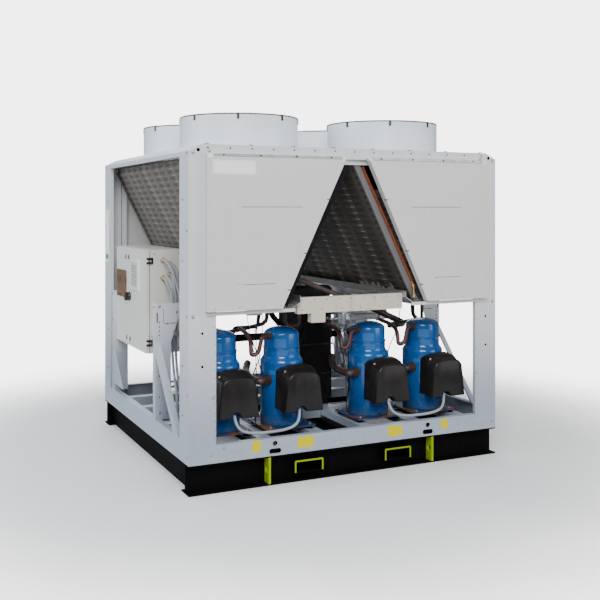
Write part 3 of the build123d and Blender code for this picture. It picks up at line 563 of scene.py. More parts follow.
def make_finishes(look):
    """All finishes by name, from the colours of the panel."""
    grey, cream = tuple(look.frame_colour), tuple(look.cabinet_colour)
    return {
        # The frame's bluish darkening towards the bottom (0.85) is painted shade
        "frame": coated("frame_paint", grey, 0.4, 0.1, soil=(0.3, 0.28, 0.25), dust_and_low_shade=0.85, rust=0.02),
        "panel": coated("panel_paint", tuple(look.panel_colour), 0.42, 0.14, soil=(0.36, 0.33, 0.29)),
        "cowl": coated("cowl_paint", tuple(look.cowl_colour), 0.45, 0.16, soil=(0.4, 0.4, 0.4)),
        "beige": coated("module_paint", (0.6, 0.55, 0.46), 0.45, 0.5, rust=0.25),
        "cabinet": coated("cabinet_paint", cream, 0.38, 0.16, soil=(0.4, 0.38, 0.34)),
        "skid": coated("skid_paint", (0.003, 0.003, 0.0036), 0.7, 0.2, soil=(0.014, 0.013, 0.012), peel=0.1,
                       sheen=0.03),
        "lime": coated("lime_paint", (0.255, 0.355, 0.0), 0.5, 0.35, soil=(0.05, 0.06, 0.0), sheen=0.1),
        "coil": coil_face("coil_fins"),
        "zinc": metal("galvanised_sheet", (0.55, 0.56, 0.57), 0.42, tarnish=(0.25, 0.23, 0.2)),
        "header_zinc": coated("end_frame_zinc", (0.15, 0.15, 0.152), 0.5, 0.5, soil=(0.07, 0.055, 0.04)),
        "dark_steel": metal("dark_screw", (0.07, 0.065, 0.06), 0.5, tarnish=(0.03, 0.02, 0.015)),
        "blue": enamel("compressor_enamel", tuple(look.compressor_colour)),
        "foot": foot_plate("compressor_foot", (0.006, 0.035, 0.12)),
        "hood": hood_plastic("hood_plastic", (0.0105, 0.0092, 0.009)),
        "black": moulded("black_plastic", (0.012, 0.012, 0.013), 0.38, coat=0.3, dust_and_low_shade=0.1),
        "wire": moulded("guard_coating", (0.02, 0.02, 0.02), 0.35),
        "rubber": moulded("insulation_foam", (0.006, 0.006, 0.0075), 0.6, 120.0, 0.4, 0.05, sheen=0.12),
        "copper": pipe_paint("discharge_copper", (0.075, 0.026, 0.022), (0.035, 0.02, 0.018)),
        "header": pipe_paint("header_copper", (0.3, 0.062, 0.024), (0.1, 0.035, 0.02)),
        "brown": pipe_paint("suction_brown", (0.075, 0.045, 0.04), (0.03, 0.022, 0.02)),
        "brass": metal("brass_fitting", (0.75, 0.5, 0.24), 0.3, tarnish=(0.28, 0.14, 0.06)),
        "steel": metal("zinc_bolt", (0.5, 0.5, 0.49), 0.35, tarnish=(0.16, 0.12, 0.09)),
        "silver": metal("pump_casting", (0.68, 0.7, 0.73), 0.3, tarnish=(0.2, 0.22, 0.25), worn=0.5),
        "sheath": moulded("cable_sheath", (0.33, 0.36, 0.39), 0.42, 300.0, 0.1, 0.2),
        "duct": moulded("cable_duct", (0.3, 0.31, 0.32), 0.5),
        "water": coated("water_pipe_paint", (0.33, 0.35, 0.36), 0.4, 0.3),
        "window": window_sheet("tinted_window", (0.165, 0.09, 0.047)),
        "rotor": moulded("rotor_plastic", (0.05, 0.05, 0.052), 0.45),
        "rim": coated("cowl_rim", (0.1, 0.062, 0.036), 0.6, 0.5, sheen=0.1),
        "hole": moulded("hole_shadow", (0.004, 0.004, 0.004), 0.9, dust_and_low_shade=0.0, sheen=0.0),
        "shade": moulded("seam_shade", (0.12, 0.12, 0.125), 0.8, dust_and_low_shade=0.0, sheen=0.1),
        "white": coated("white_label", (0.95, 0.95, 0.95), 0.5, 0.03, peel=0.0),
        "yellow": coated("yellow_label", (0.62, 0.52, 0.0), 0.6, 0.04, soil=(0.4, 0.3, 0.0), peel=0.0,
                         sheen=0.0),
        "green": coated("green_label", (0.02, 0.5, 0.07), 0.35, 0.15, peel=0.0),
        "red": moulded("handle_red", (0.45, 0.03, 0.02), 0.35, dust_and_low_shade=0.1),
        "patch": coated("pale_label", (0.03, 0.13, 0.37), 0.3, 0.6, soil=(0.012, 0.07, 0.32), peel=0.0),
        "torn": coated("torn_label", (0.42, 0.42, 0.42), 0.5, 0.9, soil=(0.06, 0.055, 0.05)),
    }


finishes = {}

CARRIED = {
    "skid": ("skid_end_beams", "skid_side_beams", "fork_pockets"),
    "lime": ("lashing_plates",),
    "frame": ("base_end_rails", "base_side_rails", "base_cross_beams", "machine_rails", "roof_end_beams",
              "roof_side_beams", "fan_deck", "side_columns", "side_braces", "cabinet_brackets",
              "corner_post_front_left", "corner_post_front_right", "corner_post_rear_left",
              "corner_post_rear_right"),
    "panel": ("end_panels_front", "end_panels_rear", "end_panel_lips"),
    "cowl": cowls,
    "coil": ("coil_1", "coil_2", "coil_3", "coil_4"),
    "beige": ("module_beams", "junction_boxes"),
    "zinc": ("coil_trays", "cabinet_gear"),
    "header_zinc": ("coil_end_frames",),
    "blue": compressors,
    "header": ("copper_headers",),
    "copper": ("discharge_pipes",),
    "brown": ("suction_pipes",),
    "rubber": ("evaporator",),
    "cabinet": ("cabinet_body", "cabinet_door"),
    "window": ("door_window",),
    "black": ("cabinet_hinges",),
    "brass": ("cable_glands",),
    "duct": ("cable_duct",),
    "water": ("water_pipes",),
    "steel": ("pipe_couplings",),
}


# What a user would change


class ChillerLook(bpy.types.PropertyGroup):
    """Colours of the painted parts."""

    frame_colour: FloatVectorProperty(name="Frame", description="Paint of posts, rails and roof",
                                      subtype="COLOR", size=3, default=(0.64, 0.66, 0.69), min=0, max=1)
    panel_colour: FloatVectorProperty(name="Panels", description="Paint of the end panels",
                                      subtype="COLOR", size=3, default=(0.655, 0.65, 0.64), min=0, max=1)
    cowl_colour: FloatVectorProperty(name="Cowls", description="Paint of the fan cowls",
                                     subtype="COLOR", size=3, default=(0.74, 0.79, 0.85), min=0, max=1)
    cabinet_colour: FloatVectorProperty(name="Cabinet", description="Paint of the electric cabinet",
                                        subtype="COLOR", size=3, default=(0.72, 0.7, 0.66), min=0, max=1)
    compressor_colour: FloatVectorProperty(name="Compressors", description="Enamel of the shells",
                                           subtype="COLOR", size=3, default=(0.0004, 0.08, 0.29),
                                           min=0, max=1)


class ChillerSizes(bpy.types.PropertyGroup):
    """Sizes of the fine pieces."""

    bolt_radius: FloatProperty(name="Bolt", description="Radius of a frame bolt's head",
                               default=0.008, min=0.002, max=0.02, unit="LENGTH")
    hole_radius: FloatProperty(name="Hole", description="Radius of a small hole in the sheet",
                               default=0.0085, min=0.002, max=0.02, unit="LENGTH")
    wire_radius: FloatProperty(name="Guard wire", description="Radius of the fan guards' wire",
                               default=0.0021, min=0.001, max=0.006, unit="LENGTH")
    seam_width: FloatProperty(name="Seam", description="Width of the end panels' pressed seams",
                              default=0.008, min=0.002, max=0.02, unit="LENGTH")


class ChillerOperator:
    """What all operators of this file share."""

    bl_options = {"REGISTER", "UNDO"}

    def execute(self, context):
        self.make(context.scene.chiller_look, context.scene.chiller_sizes)
        return {"FINISHED"}


class CHILLER_OT_stage(ChillerOperator, bpy.types.Operator):
    """Pale floor, soft light and the camera at the photograph's place"""

    bl_idname = "chiller.stage"
    bl_label = "Stage"

    def light(self, name, place, aim, size, power, colour=(1.0, 1.0, 1.0)):
        lamp = bpy.data.lights.new(name, "AREA")
        lamp.size, lamp.energy, lamp.color = size, power, colour
        made = bpy.data.objects.new(name, lamp)
        made.location = place
        direction = np.array(aim) - np.array(place)
        flat = math.hypot(direction[0], direction[1])
        made.rotation_euler = (math.atan2(flat, -direction[2]), 0, math.atan2(-direction[0], direction[1]))
        bpy.context.scene.collection.objects.link(made)

    def make(self, look, sizes):
        lens = bpy.data.cameras.new("camera")
        lens.lens, lens.sensor_width = camera_lens, 36.0
        lens.shift_x, lens.shift_y = 0.0, camera_shift
        eye = bpy.data.objects.new("camera", lens)
        eye.location = camera_place
        eye.rotation_euler = (math.pi / 2, 0, camera_turn)
        bpy.context.scene.collection.objects.link(eye)
        bpy.context.scene.camera = eye

        floor = solid("floor", lathe(((30.0, -0.02), (30.0, -0.001)), FINE_ROUND),
                      floor_paint("floor_paint", (0.86, 0.86, 0.86)))

        self.light("key", (-3.5, -8.0, 6.0), (0, 0, 1.0), 4.5, 850.0)
        self.light("fill", (5.5, -7.0, 3.0), (0, 0, 1.0), 5.0, 230.0)
        self.light("left", (-8.0, 0.5, 3.5), (0, 0, 1.2), 5.0, 460.0, (0.8, 0.89, 1.0))
        self.light("top", (0.0, 0.0, 8.5), (0, 0, 0), 6.0, 520.0, (0.88, 0.94, 1.0))
        self.light("back", (3.0, 8.0, 4.0), (0, 0, 1.2), 6.0, 260.0)
        sky = bpy.data.worlds.new("studio")
        sky.use_nodes = True
        backdrop = sky.node_tree.nodes["Background"].inputs
        backdrop["Color"].default_value = (1.0, 1.0, 1.0, 1.0)
        seen = sky.node_tree.nodes.new("ShaderNodeLightPath").outputs["Is Camera Ray"]
        level = sky.node_tree.nodes.new("ShaderNodeMath")
        level.operation = "MULTIPLY_ADD"
        level.inputs[1].default_value = SEEN_BACKDROP - ROOM_LIGHT
        level.inputs[2].default_value = ROOM_LIGHT
        sky.node_tree.links.new(seen, level.inputs[0])
        sky.node_tree.links.new(level.outputs[0], backdrop["Strength"])
        bpy.context.scene.world = sky


class CHILLER_OT_cables(ChillerOperator, bpy.types.Operator):
    """Cables from the cabinet's glands to the duct, and the conduits between the terminal hoods"""

    bl_idname = "chiller.cables"
    bl_label = "Cables"

    def cable(self, name, points, radius, length, finish, slot, replaces):
        curve = bpy.data.curves.new(name, "CURVE")
        curve.dimensions = "3D"
        curve.bevel_depth, curve.bevel_resolution, curve.resolution_u = radius, 4, 12
        curve.use_fill_caps = True
        spline = curve.splines.new("NURBS")
        spline.points.add(len(points) - 1)
        for point, place in zip(spline.points, points):
            point.co = (*place, 1.0)
        spline.order_u = 3
        spline.use_endpoint_u = True
        curve.materials.append(finishes[finish])
        made = bpy.data.objects.new(name, curve)
        bpy.context.scene.collection.objects.link(made)
        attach(made, "frame")
        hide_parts(replaces)

    def make(self, look, sizes):
        # For each gland: which drop its cable takes, outer row or not, real length
        duct_y, duct_top = 0.79, 0.158
        drops = ((2, 1, 1.2), (3, 1, 1.17), (0, 0, 1.04), (1, 0, 1.06))
        for (x, below_top), (order, outer, length) in zip(glands, drops):
            h = cabinet_top - below_top
            drop = 0.185 + order * 0.026
            out = cabinet_front - (0.11, 0.152)[outer]
            end = duct_y + (0.5 - outer) * 0.035
            self.cable(f"cabinet_cable_{order + 1}", [at(*point) for point in (
                (x, cabinet_front - 0.026, h), (x, cabinet_front - 0.071, h),
                (0.7 * x + 0.3 * drop, out + 0.008, h - 0.05), (drop + 0.003, out, 1.02 - 0.015 * order),
                (drop + 0.006, out - 0.004, 0.85), (drop - 0.002, out - 0.01, 0.64),
                (drop + 0.004, out - 0.03, 0.43), (drop, end, 0.29), (drop, end, duct_top))],
                0.01, length, "sheath", "cable_grey", "cabinet_cables")
        for number, node in enumerate((compressors[0], compressors[2]), 1):
            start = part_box(node)[1].x - axis_in + half_x + hood_aside - 0.019
            across, y, foot = 0.48, 0.12, 0.2675
            self.cable(f"conduit_{number}", [at(*point) for point in (
                (start, y, foot), (start + 0.004, y - 0.012, 0.21), (start + 0.04, y - 0.035, 0.162),
                (start + 0.12, y - 0.046, 0.143), (start + across / 2, y - 0.05, 0.141),
                (start + across - 0.12, y - 0.047, 0.145), (start + across - 0.042, y - 0.036, 0.166),
                (start + across - 0.005, y - 0.013, 0.212), (start + across, y, foot))],
                0.01, 0.637, "sheath", "cable_grey", "conduits")


class CHILLER_OT_paint(ChillerOperator, bpy.types.Operator):
    """Finishes of the carried pieces"""

    bl_idname = "chiller.paint"
    bl_label = "Paint"

    def make(self, look, sizes):
        finishes.update(make_finishes(look))
        for name, nodes in CARRIED.items():
            for node in nodes:
                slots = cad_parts[node].data.materials
                slots.clear()
                slots.append(finishes[name])


class CHILLER_OT_roof(ChillerOperator, bpy.types.Operator):
    """Rims and clips of the cowls, wire guards, fan rotors, and the screws along the roof"""

    bl_idname = "chiller.roof"
    bl_label = "Fans and roof"

    def make(self, look, sizes):
        wall, foot = 0.008, 0.022
        rims, clips, guards, rotors, screws = [], [], [], [], []
        for node in cowls:
            low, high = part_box(node)
            x, y, top = (low.x + high.x) / 2, (low.y + high.y) / 2, high.z
            radius = (high.x - low.x) / 2 - foot
            inner = radius - wall
            section = ring(8) * (0.0062, 0.006) + (radius - wall / 2, -0.006)
            rims.append(stamp(lathe(section, FINE_ROUND, loop=True), (x, y, top)))
            for step in range(8):
                angle = math.radians(22.5 + 45 * step)
                clip = stamp(bevelled((0.016, 0.006, 0.042), 0.0015), (0, -radius - 0.003, -0.022))
                hook = stamp(bevelled((0.016, 0.022, 0.003), 0.001), (0, -radius + 0.007, -0.0015))
                clips += [stamp(turned(part, angle), (x, y, top)) for part in (clip, hook)]
            guards += self.guard(x, y, top - 0.009, inner, sizes.wire_radius)
            rotors += self.rotor(x, y, top - 0.014, inner)
            reach = radius + foot / 2
            feet = [(x + reach * math.cos(a), y + reach * math.sin(a), roof_top + 0.01)
                    for a in np.arange(12) * math.pi / 6 + 0.2]
            screws.append(stamp(fastener(0.0045, 0.005), feet))
        piece("cowl_rims", rims, "rim")
        piece("guard_clips", clips, "black")
        piece("wire_guards", guards, "wire", replaces=("fan_guards",))
        piece("axial_rotors", rotors, "rotor", replaces=("fan_rotors",))
        piece("cowl_screws", screws, "steel")
        along = np.linspace(-half_x + 0.13, half_x - 0.13, 15)
        edge = []
        for facing, y in (("front", -half_y), ("back", half_y)):
            edge.append(stamp(fastener(0.004, 0.0035), [(x, y, roof_top - 0.022) for x in along], facing))
        piece("roof_screws", edge, "dark_steel")
        tabs = stamp(bevelled((0.03, 0.014, 0.006)),
                     [(x, -half_y + 0.02, roof_top + 0.003) for x in along[::2]])
        piece("roof_tabs", tabs, "black")

    def guard(self, x, y, z, inner, wire):
        """Rings of wire in one plane, tied by spokes: each ring is a circle of that radius swept round."""
        circle, plate_radius, spoke_count = ring(56), 0.1, 12
        rings = [sweep(placed(circle * r + (x, y), z), wire, 6, loop=True)
                 for r in np.linspace(plate_radius, inner - wire, 13)]
        spokes = []
        for angle in np.arange(spoke_count) * 2 * math.pi / spoke_count:
            ends = [(x + r * math.cos(angle), y + r * math.sin(angle), z - 2 * wire)
                    for r in (plate_radius, inner)]
            spokes.append(sweep(ends, 1.5 * wire, 6))
        plate = stamp(lathe(((plate_radius, -0.004), (plate_radius, 0.0), (0.09, 0.002), (0.0, 0.003)), 32),
                      (x, y, z))
        return rings + spokes + [plate]

    def rotor(self, x, y, top, inner):
        """Seven blades: an oval section that grows along the radius and flattens out from hub to tip."""
        blade_count, hub_radius, tip_gap, drop = 7, 0.085, 0.03, 0.075
        root_chord, more_chord, root_pitch, tip_pitch = 0.045, 0.045, 46, 22
        reach = np.linspace(hub_radius, inner - tip_gap, 12)
        share = (reach - reach[0]) / (reach[-1] - reach[0])
        chord = root_chord + more_chord * np.sin(share * math.pi * 0.62)
        pitch = np.radians(root_pitch - (root_pitch - tip_pitch) * share)
        oval = ring(14)
        along = oval[None, :, 0] * chord[:, None]
        thick = oval[None, :, 1] * (0.0045 - 0.002 * share[:, None]) + 0.10 * along ** 2 / chord[:, None]
        swept = 0.09 * share[:, None] ** 2
        side = along * np.cos(pitch)[:, None] - thick * np.sin(pitch)[:, None] + swept
        rise = along * np.sin(pitch)[:, None] + thick * np.cos(pitch)[:, None]
        blade = skin(np.stack([np.broadcast_to(reach[:, None], side.shape), side, rise], -1))
        middle = top - drop
        blades = [stamp(turned(blade, 2 * math.pi * number / blade_count), (x, y, middle))
                  for number in range(blade_count)]
        hub = stamp(lathe(((0.095, -0.055), (0.098, 0.02), (0.085, 0.04), (0.05, 0.048), (0.0, 0.05)), 40),
                    (x, y, middle))
        motor = stamp(lathe(((0.066, -0.05), (0.066, 0.0)), 32), (x, y, middle - 0.055))
        return blades + [hub, motor]


class CHILLER_OT_panels(ChillerOperator, bpy.types.Operator):
    """Pressed seams, clips, rivets and blank label plates of the end panels"""

    bl_idname = "chiller.panels"
    bl_label = "End panels"

    def make(self, look, sizes):
        seams, lines, rivets = [], [], []
        for facing, face in panel_faces:
            for side in (-1, 1):
                for low, high, h in ((0.346, 0.778, 1.657), (0.353, 0.58, 1.153)):
                    x = side * (half_x - (low + high) / 2)
                    strip = slab(high - low, sizes.seam_width, 0.001, sizes.seam_width / 2.1, 0.0008)
                    seams.append(stamp(strip, (x, face, h + skid_top), facing))
                    # A dark line just under each seam: painted shadow of the pressed seam
                    line = slab(high - low, sizes.seam_width / 2, 0.0006, sizes.seam_width / 4.5)
                    lines.append(stamp(line, (x, face, h + skid_top - sizes.seam_width * 0.7), facing))
                    rivets.append(stamp(lathe(((0.0045, 0), (0.004, 0.0006), (0.0, 0.0009)), 10),
                                        [(side * (half_x - low + 0.03), face, h + skid_top),
                                         (side * (half_x - 0.13), face, h + skid_top)], facing))
                # Screws that hold the panel along its bottom edge
                edge = [(side * (half_x - x), face, 1.0 + skid_top) for x in (0.16, 0.33, 0.5, 0.62)]
                rivets.append(stamp(fastener(0.0035, 0.001), edge, facing))
        # Dark lines along each panel's outer and lower edges: painted shadow of the gap between panel and
        # post
        edge_shadows = []
        for _, face in panel_faces:
            y, low, high = math.copysign(half_y, face), 0.953 + skid_top, panel_top - 0.02
            for side in (-1, 1):
                outer, inner = side * (half_x - 0.143), side * (half_x - 0.7)
                line = bend([(outer, y, high), (outer, y, low), (inner, y, low)], 0.01)
                edge_shadows.append(sweep(line, 0.0045, 8))
        piece("panel_edge_shadows", edge_shadows, "shade")
        piece("seam_shadow_lines", lines, "shade")
        piece("panel_seams", seams, "panel")
        piece("panel_rivets", rivets, "steel")
        # Folded strip over the top edge of each panel, with its screws
        ledges, ledge_screws, back = [], [], 0.024
        for facing, face in panel_faces:
            hand = math.copysign(1, face)
            for side in (-1, 1):
                middle = side * (half_x - 0.62)
                ledges.append(stamp(slab(0.93, 0.02, 0.022, 0.002, 0.002),
                                    (middle, face - hand * back, panel_top - 0.006), facing))
                ledge_screws.append(stamp(fastener(0.0045, 0.0018), [
                    (middle + x, face - hand * (back - 0.022), panel_top - 0.006)
                    for x in (-0.4, -0.14, 0.12, 0.38)], facing))
        piece("panel_ledges", ledges, "zinc")
        piece("ledge_screws", ledge_screws, "dark_steel")
        clips = []
        for x, h in ((0.978, 1.702), (0.803, 1.342), (0.684, 1.101)):
            for side in (-1, 1):
                for facing, y in (("front", panel_face + 0.003), ("back", -panel_face - 0.003)):
                    clip = bevelled((0.03, 0.008, 0.009), 0.002)
                    clips.append(stamp(clip, (side * (half_x - x), y, h + skid_top), facing))
        piece("panel_clips", clips, "black")
        plate_x, _, plate_z = at(0.2945, 0, 1.906)
        plate = stamp(slab(0.297, 0.094, 0.0008, 0.004), (plate_x, panel_face, plate_z), "front")
        piece("name_plate", plate, "white")
        border = rounded_rectangle(0.285, 0.082, 0.004)
        line = sweep(placed(border, 0, 1), 0.0008, 6, loop=True)
        place = (plate_x, panel_face - 0.0003, plate_z)
        piece("name_plate_border", stamp(line, place), "black")


class CHILLER_OT_posts(ChillerOperator, bpy.types.Operator):
    """Bolts and holes of the corner posts and columns, gussets, tabs, and the label strip at the back"""

    bl_idname = "chiller.posts"
    bl_label = "Posts and columns"

    def make(self, look, sizes):
        bolts, holes = [], []
        bolt, hole = fastener(sizes.bolt_radius, 0.006), dark_hole(sizes.hole_radius)
        column_face, column_back = (corner.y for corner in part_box("side_columns"))
        for facing, y in (("front", -half_y), ("back", half_y)):
            for side in (-1, 1):
                face = side * half_x
                holes.append(upright(hole, face - side * 0.092, y, (0.84, 0.627), facing))
                holes.append(upright(dark_hole(0.012), face - side * 0.065, y, (2.017,), facing))
                bolts.append(stamp(bolt, [(face - side * x, y, h + skid_top) for x, h in (
                    (0.03, 2.0), (0.14, 2.012), (0.03, 0.05), (0.155, 0.05), (0.03, 0.95), (0.17, 0.42))],
                    facing))
                row = np.arange(0.16, 0.93, 0.055)
                holes.append(upright(dark_hole(0.003), face - side * 0.178, y, row, facing))
        # The right side's heads are low, since nothing else stands proud of that side
        low_bolt = fastener(sizes.bolt_radius, 0.0015)
        for facing, x, head in (("left", -half_x, bolt), ("right", half_x, low_bolt)):
            for y in (-half_y + 0.03, half_y - 0.03):
                bolts.append(upright(head, x, y, (0.05, 0.45, 0.95, 1.5, 2.0), facing))
            for y in (-half_y + 0.13, half_y - 0.13):
                holes.append(upright(hole, x, y, (0.3, 0.62, 1.3, 1.7), facing))
            # Columns: paired bolts at their heads, rows of holes, bolts at their feet
            for y in (column_face, column_back - 0.06):
                bolts.append(upright(head, x, y + 0.03, (0.94, 0.72, 0.19), facing))
                holes.append(upright(dark_hole(0.005), x, y + 0.03, (0.82, 0.79, 0.5, 0.47, 0.3), facing))
        bolt_places = ((0.03, 0.945), (0.155, 0.9), (0.03, 0.19), (0.095, 0.19))
        hole_places = ((0.03, 0.83), (0.03, 0.8), (0.03, 0.77), (0.03, 0.74), (0.09, 0.82), (0.03, 0.6),
                       (0.03, 0.45), (0.09, 0.45), (0.03, 0.3), (0.09, 0.3))
        for side in (-1, 1):
            for made, part, places in ((bolts, bolt, bolt_places), (holes, dark_hole(0.005), hole_places)):
                made.append(stamp(part, [(side * (half_x - x), column_face, h + skid_top)
                                         for x, h in places], "front"))
        gussets = []
        for side in (-1, 1):
            y = column_back - 0.062
            x = side * (half_x - 0.004)
            outline = np.array(((y, 0.192), (y - 0.27, 0.192), (y - 0.255, 0.215), (y, 0.47)))
            gussets.append(skin([placed(outline + (0, skid_top), x - side * depth, 0)
                                 for depth in (0.0, 0.004)]))
        piece("column_gussets", gussets, "frame")
        piece("frame_bolts", bolts, "steel")
        piece("frame_holes", holes, "hole")
        tabs, tab_shadows = [], []
        for side in (-1, 1):
            x, z = side * (half_x - 0.11), 0.875 + skid_top
            tabs.append(stamp(slab(0.09, 0.1, 0.003, 0.003), (x, column_face, z), "front"))
            # Black lines along each tab's lower edge and its edge towards -X, and a strip near the column's
            # edge: painted shadow
            line = bend([(x + 0.047, column_face, z - 0.053), (x - 0.048, column_face, z - 0.053),
                         (x - 0.048, column_face, z + 0.05)], 0.006)
            tab_shadows.append(sweep(line, 0.0016, 8))
            tab_shadows.append(stamp(slab(0.008, 0.07, 0.0008, 0.0038),
                              (side * (half_x - 0.014), column_face, z - 0.01), "front"))
        piece("column_tabs", tabs, "frame")
        piece("column_tab_shadows", tab_shadows, "hole")
        strip_y, thick = half_y - 0.078, 0.0008
        strip = stamp(slab(0.13, 0.44, thick, 0.003), (-half_x, strip_y, 1.41 + skid_top), "left")
        piece("label_strip", strip, "white")
        square = stamp(slab(0.1, 0.04, 0.0004, 0.002), (-half_x - thick, strip_y, 1.235 + skid_top), "left")
        piece("label_square", square, "green")


class CHILLER_OT_rails(ChillerOperator, bpy.types.Operator):
    """Plain yellow plates on the base rails, bolts, and the painted edges of the fork pockets"""

    bl_idname = "chiller.rails"
    bl_label = "Rails and skid"

    def make(self, look, sizes):
        plates, edges, bolts, grommets = [], [], [], []
        for facing, y, hand in (("front", -half_y, 1), ("back", half_y, -1)):
            for low, high, bottom, top in ((0.437, 0.497, 0.041, 0.115), (0.768, 0.887, 0.031, 0.106),
                                           (1.473, 1.59, 0.031, 0.103), (1.923, 1.98, 0.039, 0.109)):
                x = hand * ((low + high) / 2 - half_x)
                plates.append(stamp(slab(high - low, top - bottom, 0.0008, 0.003),
                                    (x, y, (bottom + top) / 2 + skid_top), facing))
            bolts.append(stamp(fastener(sizes.bolt_radius, 0.005),
                               [(x, y, 0.085 + skid_top) for x in (-half_x + 0.24, half_x - 0.24)], facing))
            section = ((0.0171, 0), (0.0215, 0), (0.0215, 0.0012), (0.0185, 0.0022), (0.0171, 0.0012))
            collars = [(x, y, 0.081 + skid_top) for x in (-half_x / 2, half_x / 2)]
            grommets.append(stamp(lathe(section, loop=True), collars, facing))
            pocket_low, pocket_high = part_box("fork_pockets")
            for side in (-1, 1):
                width, height, band = 0.193, pocket_high.z - pocket_low.z - 0.012, 0.011
                middle = (side * (pocket_high.x - width / 2 - 0.006), y, (pocket_low.z + pocket_high.z) / 2)
                edges.append(stamp(self.mouth(width, height, band), middle, facing))
        piece("rail_plates", plates, "yellow")
        piece("pocket_edges", edges, "lime")
        piece("rail_bolts", bolts, "steel")
        piece("jack_hole_collars", grommets, "steel")
        piece("skid_bolts", [stamp(fastener(0.011, 0.008), [
            (x, side * (half_y - 0.03), skid_top) for x in (-0.95, 0.0, 0.95)], "up") for side in (-1, 1)],
            "skid")

    def mouth(self, width, height, band):
        """Painted band over the top and down both sides of a pocket: a flat section along a bent line."""
        x, z, drop = width / 2 + band / 2, height / 2 + band / 2, height + band * 0.6
        line = bend([(-x, z - drop), (-x, z), (x, z), (x, z - drop)], 0.004, 4)
        along = np.gradient(line, axis=0)
        along /= np.linalg.norm(along, axis=1)[:, None]
        out = np.stack([-along[:, 1], along[:, 0]], -1) * band / 2
        section = ((-1, -0.0005), (1, -0.0005), (1, 0.0014), (0.8, 0.002), (-0.8, 0.002), (-1, 0.0014))
        return skin(np.stack([placed(line + out * side, depth) for side, depth in section], 1))


class CHILLER_OT_coils(ChillerOperator, bpy.types.Operator):
    """Painted shade plates and strips round the coils, a brass elbow, torn labels and the module beam's holes
    """

    bl_idname = "chiller.coils"
    bl_label = "Coil fittings"

    def make(self, look, sizes):
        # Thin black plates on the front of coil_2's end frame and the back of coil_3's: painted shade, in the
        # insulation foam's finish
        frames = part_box("coil_end_frames")
        end_frame_shades = []
        for node, face, facing in (("coil_2", frames[0].y, "front"), ("coil_3", frames[1].y, "back")):
            low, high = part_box(node)
            turn = 1 if facing == "front" else -1
            lean = 1 if node == "coil_2" else -1
            left, right = (low, high) if lean > 0 else (high, low)
            outline = np.array(((left.x - lean * 0.003, low.z), (left.x + lean * (coil_thick + 0.004), low.z),
                                (right.x + lean * 0.004, high.z),
                                (right.x - lean * (coil_thick + 0.003), high.z)))
            end_frame_shades.append(skin([placed(outline, face - turn * depth, 1) for depth in (0.0, 0.0025)]))
        piece("end_frame_shade", end_frame_shades, "rubber")
        # Strips that close the gap between the outer coils and the roof's side beams
        outer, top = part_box("coil_4")[1].x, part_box("coil_4")[1].z
        strips = [stamp(bevelled((0.006, 2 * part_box("coil_4")[1].y, 0.05), 0.001),
                        (side * (outer - 0.008), 0, top + 0.016)) for side in (-1, 1)]
        piece("coil_top_strips", strips, "coil")
        # Black plates under the fan deck above each module's end frame: painted shade inside the modules
        shade_sheets = [stamp(bevelled((0.19, 0.003, 0.19), 0.001), at(half_x + side * 0.22, y, 1.875))
                  for side in (-1, 1) for y in (0.2, 2 * half_y - 0.2)]
        piece("module_shade_sheets", shade_sheets, "hole")
        elbow = bend([at(1.696, 0.062, 1.11), at(1.696, 0.02, 1.1), at(1.696, 0.02, 1.015)], 0.03)
        piece("brass_elbow", [sweep(elbow, 0.0085, 14),
                              stamp(lathe(((0.013, -0.01), (0.013, 0.01)), 6), elbow[-1]),
                              stamp(lathe(((0.012, -0.006), (0.012, 0.006)), 6), elbow[0], "front")],
              "brass")
        labels = [self.torn(0.38, 0.74, 1.03, 0.05, 1.0), self.torn(0.24, 0.31, 1.03, 0.055, 2.6)]
        piece("torn_labels", labels, "torn")
        low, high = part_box("module_beams")
        reach = 0.38
        holes = [(x, low.y, high.z - 0.018) for x in np.linspace(-reach, reach, 9)]
        holes += [(x, low.y, low.z + 0.06) for x in np.linspace(-reach, reach, 6)]
        piece("beam_holes", [stamp(dark_hole(0.004), holes, "front")], "hole")

    def torn(self, start, end, foot, height, phase):
        """Rag of a label on the sloping coil: level below, above it a sum of three sines of the depth."""
        low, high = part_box("coil_3")
        slope = (high.x - low.x - coil_thick) / (high.z - low.z)
        y = np.linspace(start, end, 40)
        ragged = np.abs(0.5 + 0.3 * np.sin(y * 71 + phase) + 0.2 * np.sin(y * 173)
                        + 0.15 * np.sin(y * 391)) + 0.1
        rings = []
        for rise, out in ((0, 0.001), (1, 0.001), (1, 0.003), (0, 0.003)):
            z = foot + skid_top + rise * ragged * height
            x = high.x - coil_thick - (z - low.z) * slope - out
            rings.append(np.stack([x, y - half_y, z], -1))
        return skin(np.stack(rings, 1))


